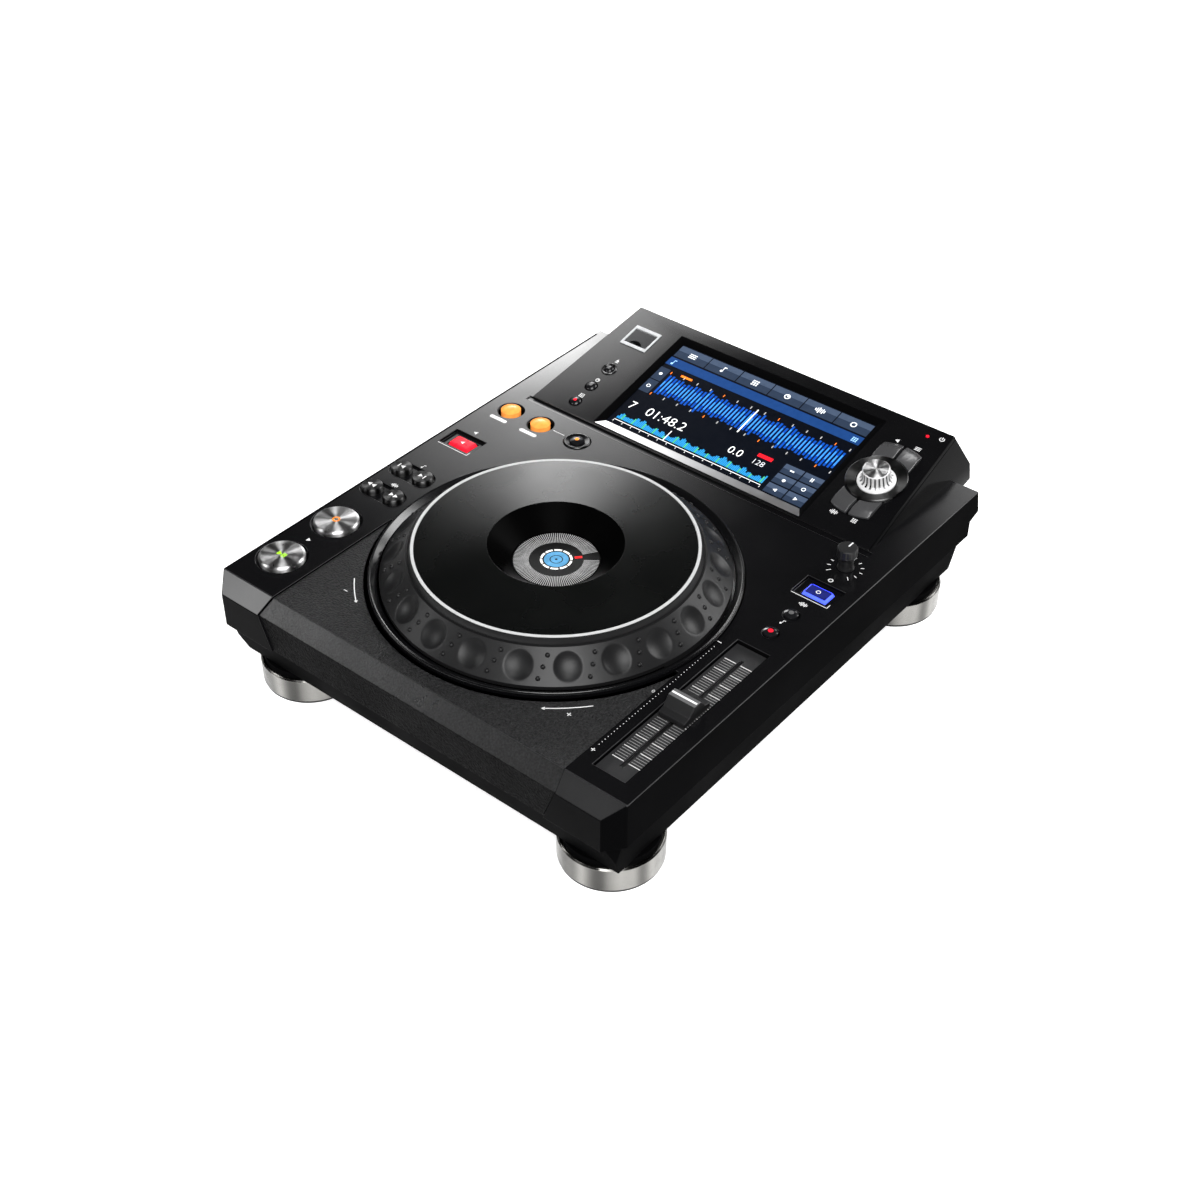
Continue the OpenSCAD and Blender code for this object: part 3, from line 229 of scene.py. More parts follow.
@dataclass(frozen=True)
class Moulded(Finish):
    """Moulded plastic or rubber: a skin of fine grain and a faint unevenness."""

    rough: float = 0.4
    grain: float = 2500
    depth: float = 20e-6
    sway: float = 0.12
    gloss: float = 0.5
    crown: float = 0.0
    centre: Color = (0, 0, 0)

    def paint(self, shader: Shader) -> None:
        """Lay the grain, the uneven tone, the uneven gloss and the crown of a round plate."""
        fine = shader.noise(self.grain, 4)
        broad = shader.noise(22, 5)
        shader.drive("Base Color", shader.tint(fine, self.color, self.sway))
        shader.drive("Roughness", shader.spread(broad, self.rough * 0.85, self.rough * 1.15))
        shader.fix(Specular_IOR_Level=self.gloss)
        shader.bump(fine, self.depth, shader.crown(self.centre, self.crown) if self.crown else None)


class Cut(Enum):
    """Which way the tool marks of turned metal run."""

    FACE = "rings on a flat face"
    SIDE = "rings round a cylinder"


@dataclass(frozen=True)
class Turned(Finish):
    """Metal with fine tool marks, which draw the light into bright fans or stripes; its colour may also
    carry fans of painted reflection.
    """

    rough: float = 0.22
    cut: Cut = Cut.SIDE
    centre: Color = (0, 0, 0)
    axis: Color = (0, 0, 1)
    marks: float = 9000
    lean: float = 0.08
    stretch: float = 0.95
    # Strength of the painted reflection laid into the colour as lighter and darker fans by direction; 0
    # leaves it out.
    painted_bands: float = 0.0

    def paint(self, shader: Shader) -> None:
        """Lay the tool marks: the light spreads across the rings and hardly along them; fans of painted
        reflection may be laid into the colour.
        """
        away = shader.vector("SUBTRACT", shader.place(), self.centre).outputs[0]
        along = shader.vector("DOT_PRODUCT", away, self.axis).outputs["Value"]
        rise = shader.vector("SCALE", self.axis, scale=along).outputs[0]
        outward = shader.vector("SUBTRACT", away, rise).outputs[0]
        across = shader.vector("LENGTH", outward).outputs["Value"] if self.cut is Cut.FACE else along
        marks = shader.add("ShaderNodeTexNoise", noise_dimensions="1D")
        shader.feed(marks.inputs["W"], across)
        shader.feed(marks.inputs["Scale"], self.marks)
        shader.feed(marks.inputs["Detail"], 2)
        lean = shader.spread(marks.outputs["Fac"], -self.lean, self.lean)
        if self.cut is Cut.FACE:
            way = shader.vector("NORMALIZE", outward).outputs[0]
        else:
            way = shader.vector("ADD", self.axis, (0, 0, 0)).outputs[0]
        shader.drive("Normal", shader.leaned(way, lean))
        shader.drive("Tangent", shader.to_world(way))
        tone = marks.outputs["Fac"]
        # Painted reflection: the colour turns lighter and darker by the direction round the axis on a face,
        # by the facing on a cylinder's side, standing in for the bright and dark fans that turned metal
        # reflects.
        if self.painted_bands:
            painted_fans = shader.add("ShaderNodeTexNoise")
            round_way = way if self.cut is Cut.FACE else shader.add("ShaderNodeTexCoord").outputs["Normal"]
            shader.feed(painted_fans.inputs["Vector"], round_way)
            shader.feed(painted_fans.inputs["Scale"], 3.4 if self.cut is Cut.FACE else 1.9)
            shader.feed(painted_fans.inputs["Detail"], 1)
            tone = painted_fans.outputs["Fac"]
        shader.drive("Base Color", shader.tint(tone, self.color, self.painted_bands or 0.12))
        cloud = shader.noise(180, 4)
        shader.drive("Roughness", shader.spread(cloud, self.rough * 0.8, self.rough * 1.3))
        shader.fix(Metallic=1.0, Anisotropic=self.stretch)


@dataclass(frozen=True)
class Plated(Finish):
    """Bright plated or plain sheet metal."""

    rough: float = 0.12

    def paint(self, shader: Shader) -> None:
        """Lay a faint cloudiness over the metal."""
        cloud = shader.noise(120, 3)
        shader.drive("Base Color", shader.tint(cloud, self.color, 0.04))
        shader.drive("Roughness", shader.spread(cloud, self.rough * 0.9, self.rough * 1.1))
        shader.fix(Metallic=1.0)


@dataclass(frozen=True)
class Lit(Finish):
    """Clear coloured plastic with a lamp behind it, a glowing spot of a display, or a plain print given a
    glow as painted light.
    """

    glow: float = 1.0
    rough: float = 0.25
    blotch: float = 0.15
    gloss: float = 0.3

    def paint(self, shader: Shader) -> None:
        """Lay the glow with a soft unevenness."""
        soft = shader.noise(260, 2)
        shader.drive("Base Color", shader.tint(soft, self.color, self.blotch))
        shader.drive("Emission Color", shader.tint(soft, self.color, self.blotch))
        shader.drive("Roughness", shader.spread(soft, self.rough * 0.8, self.rough * 1.2))
        shader.fix(Emission_Strength=self.glow, Specular_IOR_Level=self.gloss)


@dataclass(frozen=True)
class PageInk(Lit):
    """A colour of the screen's page, behind glass."""

    rough: float = 0.4
    blotch: float = 0.05
    gloss: float = 0.02


GLOSS_BLACK = Moulded("gloss_black", (0.004, 0.004, 0.0045), rough=0.2, grain=5000, depth=1e-7, gloss=0.3)
PANEL_BLACK = Moulded("panel_black", (0.003, 0.003, 0.0035), rough=0.2, grain=5000, depth=1e-7, gloss=1.0)
SATIN_BLACK = Moulded(
    "satin_black", (0.002, 0.002, 0.0022), rough=0.5, grain=3500, depth=12e-6, gloss=0.002
)
# Copy of the black plastic for faces that turn sideways: darker and nearly without gloss, painted shade.
SIDE_BLACK = Moulded(
    "side_black", (0.002, 0.002, 0.0022), rough=0.45, grain=4000, depth=8e-6, gloss=0.0015
)
GRAIN_BLACK = Moulded(
    "grain_black", (0.013, 0.013, 0.0135), rough=0.48, grain=900, depth=0.0014, sway=0.95, gloss=0.25
)
# Copy of the grained trim for its side faces: darker, painted shade.
GRAIN_SIDE = Moulded(
    "grain_side", (0.004, 0.004, 0.0042), rough=0.5, grain=900, depth=0.0012, sway=0.95, gloss=0.02
)
# Copy of the grained trim for its front slant: darker and glossier, painted shade.
GRAIN_SLANT = Moulded(
    "grain_slant", (0.008, 0.008, 0.0084), rough=0.3, grain=900, depth=0.00025, sway=0.95, gloss=0.4
)
# Lighter finish for the trim's rounded top edges: a painted edge highlight.
GRAIN_EDGE_HIGHLIGHT = Moulded(
    "grain_edge_highlight", (0.03, 0.03, 0.031), rough=0.35, grain=1200, depth=0.0001, sway=0.8, gloss=0.5
)
# Copy of the black plastic for forward faces: darker and nearly without gloss, painted shade.
FRONT_BLACK = Moulded(
    "front_black", (0.0025, 0.0025, 0.0027), rough=0.45, grain=4000, depth=8e-6, gloss=0.015
)
# Copy for the head's outer side faces, darker than the panel's plastic: painted shade.
SIDE_GLOSS = Moulded(
    "side_gloss", (0.002, 0.002, 0.0022), rough=0.14, grain=5000, depth=4e-7, gloss=0.035
)
# Lighter finish for the deck's rounded top edges: a painted edge highlight.
EDGE_HIGHLIGHT_GREY = Moulded(
    "painted_edge_highlight", (0.02, 0.02, 0.021), rough=0.35, grain=2500, depth=4e-6, sway=0.4, gloss=0.3
)
SOFT_BLACK = Moulded(
    "soft_black", (0.009, 0.009, 0.0094), rough=0.38, grain=4200, depth=20e-6, gloss=0.24
)
DISH_BLACK = Moulded("dish_black", (0.001, 0.001, 0.001), rough=0.3, grain=5200, depth=2e-6, gloss=0.006)
# Lighter black for faces that look to the back: painted light; it is also the rear plate's own finish.
REAR_BLACK = Moulded(
    "rear_black", (0.006, 0.006, 0.0063), rough=0.45, grain=3500, depth=10e-6, gloss=0.25
)
DEEP_BLACK = Moulded("deep_black", (0.002, 0.002, 0.002), rough=0.5, grain=3000, depth=10e-6, gloss=0.2)
DOME_BLACK = Moulded("dome_black", (0.008, 0.008, 0.009), rough=0.18, grain=3000, depth=4e-6, gloss=0.35)
GLASS_BLACK = Moulded(
    "glass_black", (0.002, 0.002, 0.0025), rough=0.2, grain=5000, depth=1e-7, gloss=0.04
)
CAP_BLACK = Moulded("cap_black", (0.009, 0.009, 0.0095), rough=0.4, grain=4200, depth=10e-6, gloss=0.4)
CAP_TOP = Moulded("cap_top", (0.11, 0.11, 0.112), rough=0.35, grain=4200, depth=4e-6, gloss=0.5)
KEY_GREY = Moulded("key_grey", (0.06, 0.06, 0.062), rough=0.22, grain=4000, depth=4e-6, gloss=0.9)
LID_GREY = Moulded("lid_grey", (0.01, 0.011, 0.013), rough=0.2, grain=3000, depth=5e-7, gloss=0.4)
PLATE_GREY = Moulded("fader_grey", (0.022, 0.022, 0.023), rough=0.45, grain=3500, depth=12e-6, gloss=0.3)
RUBBER = Moulded("rubber", (0.012, 0.012, 0.012), rough=0.75, grain=1800, depth=60e-6, gloss=0.3)
BOARD = Moulded("circuit_board", (0.01, 0.07, 0.03), rough=0.4, grain=900, depth=30e-6, sway=0.4)
INK_WHITE = Moulded("ink_white", (0.86, 0.86, 0.86), rough=0.5, grain=4000, depth=4e-6, sway=0.05)
INK_GREY = Moulded("ink_grey", (0.32, 0.32, 0.32), rough=0.5, grain=4000, depth=4e-6, sway=0.05)
# Darker metal for the knob's flute valleys: painted shade in the creases.
FLUTE_VALLEY_SHADE = Plated("flute_valley_shade", (0.2, 0.2, 0.205), rough=0.3)
STRIP = Plated("strip_silver", (0.5, 0.5, 0.505), rough=0.36)
# Pale colour of the selector's skirt, standing for the chrome's reflection of bright surroundings: painted
# reflection.
SKIRT_PAINTED_REFLECTION = Moulded(
    "skirt_painted_reflection", (0.74, 0.74, 0.74), rough=0.25, grain=4000, depth=1e-6, sway=0.03, gloss=0.8
)
SHEET = Plated("sheet_metal", (0.45, 0.45, 0.46), rough=0.38)
# Feet: their light and dark stripes round the sleeve are painted reflection.
FOOT_METAL = Turned(
    "foot_metal", (0.23, 0.226, 0.215), rough=0.2, cut=Cut.SIDE, marks=5000, lean=0.1, painted_bands=0.8
)
# Glow for the fader cap's printed ridge line, which has no lamp: painted light.
PAINTED_GLOW_WHITE = Lit("white_light", (0.86, 0.87, 0.87), glow=0.2, blotch=0.04)
RING_LIGHT = Lit("ring_light", (0.5, 0.505, 0.505), glow=0.12, blotch=0.04, gloss=0.1)
FRAME_LIGHT = Lit("frame_light", (0.5, 0.51, 0.52), glow=0.2, blotch=0.08)
ORANGE_LIGHT = Lit("orange_light", (1.0, 0.31, 0.06), glow=0.5, rough=0.2, gloss=0.2)
RED_LIGHT = Lit("red_light", (0.85, 0.012, 0.03), glow=0.5, rough=0.3, gloss=0.08)
BLUE_LIGHT = Lit("blue_light", (0.06, 0.1, 1.0), glow=1.6, rough=0.3, gloss=0.08)
BLUE_DARK = Lit("blue_dark", (0.012, 0.016, 0.12), glow=0.4, rough=0.3, gloss=0.05)
GREEN_LIGHT = Lit("green_light", (0.36, 0.8, 0.03), glow=0.55, gloss=0.05)
AMBER_LIGHT = Lit("amber_light", (1.0, 0.26, 0.02), glow=0.75, gloss=0.05)


@dataclass
class Piece:
    """One visible piece: its mesh is built here and then handed to its body."""

    name: str
    body: str = "player"
    mesh: bmesh.types.BMesh = field(default_factory=bmesh.new)

    def lathe(
        self, profile: list[Point], at: Matrix, steps: int = 128, round_by: float = 0.0, sweep: float = TURN
    ) -> None:
        """Turn a closed profile of radius and height about an axis.

        Args:
            profile: Corners of the section, as radius and height.
            at: Where the axis stands.
            steps: Steps of the full turn.
            round_by: Radius that the section's corners get.
            sweep: Angle of the turn, less than a full one for a sector.
        """
        made = bmesh.new()
        points = [made.verts.new((r, 0, z)) for r, z in profile]
        edges = [made.edges.new((a, b)) for a, b in zip(points, points[1:] + points[:1])]
        if round_by:
            corners = [v for v in points if v.co.x > ON_AXIS]
            bmesh.ops.bevel(
                made, geom=corners, offset=round_by, segments=3, profile=0.5, affect="VERTICES", material=-1
            )
            edges = list(made.edges)
        axis_edges = [e for e in edges if all(v.co.x < ON_AXIS for v in e.verts)]
        bmesh.ops.delete(made, geom=axis_edges, context="EDGES")
        bmesh.ops.spin(
            made, geom=made.verts[:] + made.edges[:], cent=(0, 0, 0), axis=(0, 0, 1), angle=sweep,
            steps=steps, use_merge=sweep == TURN,
        )
        bmesh.ops.remove_doubles(made, verts=made.verts, dist=WELD)
        bmesh.ops.recalc_face_normals(made, faces=made.faces)
        self.take(made, at)

    def solid(
        self, node: str, bevel: float, segments: int = 2, edge_finish: int = 0, over: float = -1.0
    ) -> None:
        """Take a solid's own shape, with its sharp edges rounded.

        Args:
            node: The solid to copy.
            bevel: Width of the rounding.
            segments: Steps of the rounding.
            edge_finish: Number of the finish that the rounded edges get.
            over: Height over which they get it.
        """
        made = bmesh.new()
        made.from_mesh(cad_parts[node].data)
        bmesh.ops.remove_doubles(made, verts=made.verts, dist=SOLID_WELD)
        bmesh.ops.dissolve_limit(made, angle_limit=FLAT_ANGLE, verts=made.verts, edges=made.edges)
        edges = [e for e in made.edges if e.is_manifold and e.calc_face_angle(0) > ROUNDED_ANGLE]
        rounded = bmesh.ops.bevel(
            made, geom=edges, offset=bevel, segments=segments, profile=0.5, affect="EDGES", material=-1,
            clamp_overlap=False,
        )
        for f in rounded["faces"]:
            f.material_index = edge_finish if f.calc_center_median().z > over else 0
        self.take(made, Matrix())

    def choose(self, way: Vector, least: float, finish: int) -> None:
        """Give the faces that turn away from a way a finish of their own.

        Args:
            way: The direction that the main faces look in.
            least: Least share of that direction that a main face has.
            finish: Number of the other finish.
        """
        for f in self.mesh.faces:
            if f.material_index == 0 and f.normal.dot(way) < least:
                f.material_index = finish

    def face(self, way: Vector, least: float, finish: int) -> None:
        """Give the faces that look along a way a finish of their own."""
        for f in self.mesh.faces:
            if f.normal.dot(way) > least:
                f.material_index = finish

    def take(self, made: bmesh.types.BMesh, at: Matrix) -> None:
        """Add another mesh, put in its place."""
        bmesh.ops.transform(made, matrix=at, verts=made.verts)
        holder = bpy.data.meshes.new("holder")
        made.to_mesh(holder)
        made.free()
        self.mesh.from_mesh(holder)
        bpy.data.meshes.remove(holder)

    def finish(
        self, *finishes: Finish, replaces: tuple[str, ...] = (), slot: str = "", weigh: bool = True
    ) -> None:
        """Make the object, dress it and hand it to its body.

        Args:
            finishes: Finishes, in the order of the faces' material numbers.
            replaces: Solids that this piece stands for.
            slot: The record's material slot; not used.
            weigh: Whether large flat faces keep their own shading.
        """
        data = bpy.data.meshes.new(self.name)
        self.mesh.to_mesh(data)
        self.mesh.free()
        data.shade_smooth()
        data.set_sharp_from_angle(angle=SHARP_ANGLE)
        for each in finishes:
            data.materials.append(each.material())
        made = bpy.data.objects.new(self.name, data)
        bpy.context.scene.collection.objects.link(made)
        if weigh:
            made.modifiers.new("even_shading", "WEIGHTED_NORMAL").keep_sharp = True
        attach(made, self.body)
        if replaces:
            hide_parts(*replaces)
        LOG.info("%s: %d faces on %s", self.name, len(data.polygons), self.body)


def clad(
    name: str, node: str, bevel: float, finish: Finish, slot: str, body: str = "player", segments: int = 2
) -> None:
    """Stand a rounded copy of a solid in its place, all in one finish.

    Args:
        name: The piece's name.
        node: The solid.
        bevel: Width of the rounding.
        finish: The piece's finish.
        slot: The record's material slot.
        body: The body that the piece rides on.
        segments: Steps of the rounding.
    """
    piece = Piece(name, body)
    piece.solid(node, bevel, segments)
    piece.finish(finish, replaces=(node,), slot=slot)


def dress(finish: Finish, *nodes: str) -> None:
    """Give solids that keep their own shape a finish."""
    for name in nodes:
        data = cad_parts[name].data
        data.materials.clear()
        data.materials.append(finish.material())
        LOG.info("%s: kept, in %s", name, finish.name)


def middle(node: str) -> Vector:
    """Give the middle of a solid's box."""
    low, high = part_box(node)
    return (low + high) / 2


class Icon(Enum):
    """Plain symbols that any maker uses."""

    PLAY = "play"
    PAUSE = "pause"
    LEFT = "left"
    STOP_BAR = "stop bar"
    RING = "ring"
    DOT = "dot"
    BAR = "bar"
    WAVE = "wave"
    NOTE = "note"
    POWER = "power"
    CLOCK = "clock"
    EJECT = "eject"
    GRID = "grid"
    LIST = "list"


def flat_place(x: float, y: float, turn: float) -> Matrix:
    """Give a place on a flat ground by its two distances and its turn."""
    return Matrix.Translation((x, y, 0)) @ Matrix.Rotation(turn, 4, "Z")


@dataclass
class Marks:
    """Thin raised marks on a flat place: bars, dots, arcs and figures."""

    name: str
    at: Matrix
    body: str = "player"
    lift: float = 0.06 * MM
    sign_line: float = 0.5 * MM
    mesh: bmesh.types.BMesh = field(default_factory=bmesh.new)

    def bar(self, x: float, y: float, w: float, h: float, turn: float = 0.0) -> None:
        """Add a bar by its middle, its size and its turn."""
        place = flat_place(x, y, turn) @ Matrix.Diagonal((w, h, 1, 1))
        bmesh.ops.create_grid(self.mesh, x_segments=1, y_segments=1, size=0.5, matrix=place)

    def dot(self, x: float, y: float, r: float, sides: int = 20, turn: float = 0.0) -> None:
        """Add a dot, or with few sides a triangle or square."""
        place = flat_place(x, y, turn)
        bmesh.ops.create_circle(self.mesh, cap_ends=True, segments=sides, radius=r, matrix=place)

    def spoke(self, angle: float, r1: float, r2: float, w: float) -> None:
        """Add a bar that points away from the middle."""
        r = (r1 + r2) / 2
        self.bar(r * math.cos(angle), r * math.sin(angle), r2 - r1, w, angle)

    def arc(self, r1: float, r2: float, start: float, sweep: float, x: float = 0.0, y: float = 0.0) -> None:
        """Add part of a ring by its radii, its start and its sweep."""
        along, up = math.cos(start), math.sin(start)
        ends = [self.mesh.verts.new((x + r * along, y + r * up, 0)) for r in (r1, r2)]
        edge = self.mesh.edges.new(ends)
        bmesh.ops.spin(
            self.mesh, geom=[edge, *ends], cent=(x, y, 0), axis=(0, 0, 1), angle=sweep,
            steps=max(4, int(64 * abs(sweep) / TURN)), use_merge=abs(sweep) > TURN - 0.01,
        )

    def triangle(self, x: float, y: float, size: float, turn: float = 0.0) -> None:
        """Add a triangle that points along its turn."""
        self.dot(x, y, size, 3, turn - math.pi / 2)

    def sign(self, x: float, y: float, size: float, plus: bool) -> None:
        """Add a minus or a plus by its middle and its size."""
        self.bar(x, y, size, self.sign_line)
        if plus:
            self.bar(x, y, self.sign_line, size)

    def icon(self, icon: Icon, x: float, y: float, size: float) -> None:
        """Add a symbol by its middle and its height."""
        line = size * 0.16
        if icon in (Icon.PLAY, Icon.LEFT):
            self.triangle(x, y, size * 0.56, 0 if icon is Icon.PLAY else math.pi)
        elif icon in (Icon.PAUSE, Icon.STOP_BAR):
            for shift in (-0.22, 0.22) if icon is Icon.PAUSE else (0,):
                self.bar(x + shift * size, y, size * 0.2, size)
        elif icon is Icon.DOT:
            self.dot(x, y, size * 0.4)
        elif icon is Icon.BAR:
            self.bar(x, y, size, size * 0.36)
        elif icon is Icon.WAVE:
            for k, high in enumerate((0.4, 0.8, 1.2, 0.7, 1.0, 0.5)):
                self.bar(x + (k - 2.5) * size * 0.3, y, line, size * high)
        elif icon is Icon.NOTE:
            self.dot(x - size * 0.2, y - size * 0.36, size * 0.22)
            self.bar(x - size * 0.06, y + size * 0.1, line * 0.7, size * 0.9)
            self.bar(x + size * 0.12, y + size * 0.5, size * 0.42, line)
        elif icon is Icon.GRID:
            for k in range(9):
                column, row = k % 3 - 1, k // 3 - 1
                self.bar(x + column * size * 0.4, y + row * size * 0.4, size * 0.26, size * 0.26)
        elif icon is Icon.LIST:
            for k in (-1, 0, 1):
                self.bar(x, y + k * size * 0.36, size * 1.3, line)
        elif icon is Icon.EJECT:
            self.triangle(x, y + size * 0.12, size * 0.46, math.pi / 2)
            self.bar(x, y - size * 0.4, size * 0.8, line)
        else:
            opening = math.radians(40) if icon is Icon.POWER else 0
            self.arc(size * 0.5 - line, size * 0.5, math.pi / 2 + opening, TURN - 2 * opening, x, y)
            if icon is not Icon.RING:
                self.bar(x, y + size * 0.26, line, size * (0.56 if icon is Icon.POWER else 0.4))
            if icon is Icon.CLOCK:
                self.bar(x + size * 0.12, y + size * 0.04, size * 0.26, line)

    def figures(self, text: str, x: float, y: float, size: float) -> None:
        """Add plain figures with their lower left corner at a place."""
        curve = bpy.data.curves.new("figures", "FONT")
        curve.body, curve.size, curve.resolution_u, curve.offset = text, size, 3, -0.011 * size
        holder = bpy.data.objects.new("figures", curve)
        data = bpy.data.meshes.new_from_object(holder)
        data.transform(Matrix.Translation((x, y, 0)))
        self.mesh.from_mesh(data)
        bpy.data.objects.remove(holder)
        bpy.data.curves.remove(curve)
        bpy.data.meshes.remove(data)

    def drape(self, profile: Sequence[Point]) -> None:
        """Bend the marks over a dome given as falling heights at growing radii."""
        bmesh.ops.subdivide_edges(self.mesh, edges=self.mesh.edges[:], cuts=3, use_grid_fill=True)
        for v in self.mesh.verts:
            r = math.hypot(v.co.x, v.co.y)
            for (r1, z1), (r2, z2) in zip(profile, profile[1:]):
                if r1 <= r <= r2:
                    v.co.z = z1 + (z2 - z1) * (r - r1) / (r2 - r1)

    def finish(self, finish: Finish, slot: str = "") -> None:
        """Give the marks a little thickness, place them and hand them over."""
        bmesh.ops.remove_doubles(self.mesh, verts=self.mesh.verts, dist=WELD)
        for f in self.mesh.faces:
            f.normal_update()
            if f.normal.z < 0:
                f.normal_flip()
        raised = bmesh.ops.extrude_face_region(self.mesh, geom=self.mesh.faces[:])
        tops = [v for v in raised["geom"] if isinstance(v, bmesh.types.BMVert)]
        bmesh.ops.translate(self.mesh, verts=tops, vec=(0, 0, self.lift))
        bmesh.ops.recalc_face_normals(self.mesh, faces=self.mesh.faces)
        piece = Piece(self.name, self.body)
        piece.take(self.mesh, self.at)
        piece.finish(finish, slot=slot, weigh=False)


@dataclass
class Case:
    """The two shells, the front trim, the feet and the screws."""

    edge: float = 0.45 * MM
    side_below: float = 0.3
    slant_way: Color = (0, -0.6, 0.8)
    foot_r: float = 30.6 * MM
    foot_wall: float = 3.8 * MM

    def build(self) -> None:
        """Dress the shells and build the feet."""
        shell = Piece("deck_shell")
        # The rounded top edges get the lighter finish: a painted edge highlight.
        shell.solid("upper_case", self.edge, edge_finish=2, over=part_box("upper_case")[1].z - self.edge)
        # Sideways, left and forward faces get darker, duller copies of the plastic and rear faces a lighter
        # copy: painted shade and painted light by the way each face looks.
        shell.choose(UP, self.side_below, 1)
        shell.face(LEFT, 0.2, 1)
        shell.face(REAR, 0.5, 3)
        shell.face(FRONT, 0.8, 4)
        shell.finish(
            GLOSS_BLACK, SIDE_BLACK, EDGE_HIGHLIGHT_GREY, REAR_BLACK, FRONT_BLACK,
            replaces=("upper_case",), slot="gloss_black",
        )
        tray = Piece("base_shell")
        tray.solid("lower_case", self.edge * 1.4)
        # Rear faces get a lighter copy of the plastic: painted light.
        tray.face(REAR, 0.5, 1)
        tray.finish(SATIN_BLACK, REAR_BLACK, replaces=("lower_case",), slot="satin_black")
        trim = Piece("grained_trim")
        # Its rounded top edges get the lighter finish: a painted edge highlight.
        trim.solid("front_trim", self.edge * 0.8, edge_finish=3, over=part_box("front_trim")[1].z - self.edge)
        # Side faces get a darker copy of the grain and the front slant a darker, glossier copy: painted
        # shade by the way each face looks.
        trim.choose(UP, self.side_below, 1)
        trim.face(Vector(self.slant_way), 0.96, 2)
        trim.finish(
            GRAIN_BLACK, GRAIN_SIDE, GRAIN_SLANT, GRAIN_EDGE_HIGHLIGHT, replaces=("front_trim",), slot="grain_black"
        )
        dress(SATIN_BLACK, "foot_hubs")
        dress(RUBBER, "foot_pads")
        dress(SHEET, "case_screws")
        self.feet()

    def feet(self) -> None:
        """Turn the four metal rings of the feet."""
        low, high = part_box("foot_rings")
        height = high.z - low.z
        rings = Piece("foot_sleeves")
        for x in (low.x + self.foot_r, high.x - self.foot_r):
            for y in (low.y + self.foot_r, high.y - self.foot_r):
                rings.lathe(
                    [
                        (self.foot_r - self.foot_wall, 0),
                        (self.foot_r - 0.4 * MM, 0),
                        (self.foot_r, 0.6 * MM),
                        (self.foot_r, height - 1.0 * MM),
                        (self.foot_r - 1.0 * MM, height),
                        (self.foot_r - self.foot_wall, height),
                    ],
                    Matrix.Translation((x, y, low.z)),
                    round_by=0.15 * MM,
                )
        rings.finish(FOOT_METAL, replaces=("foot_rings",), slot="silver")


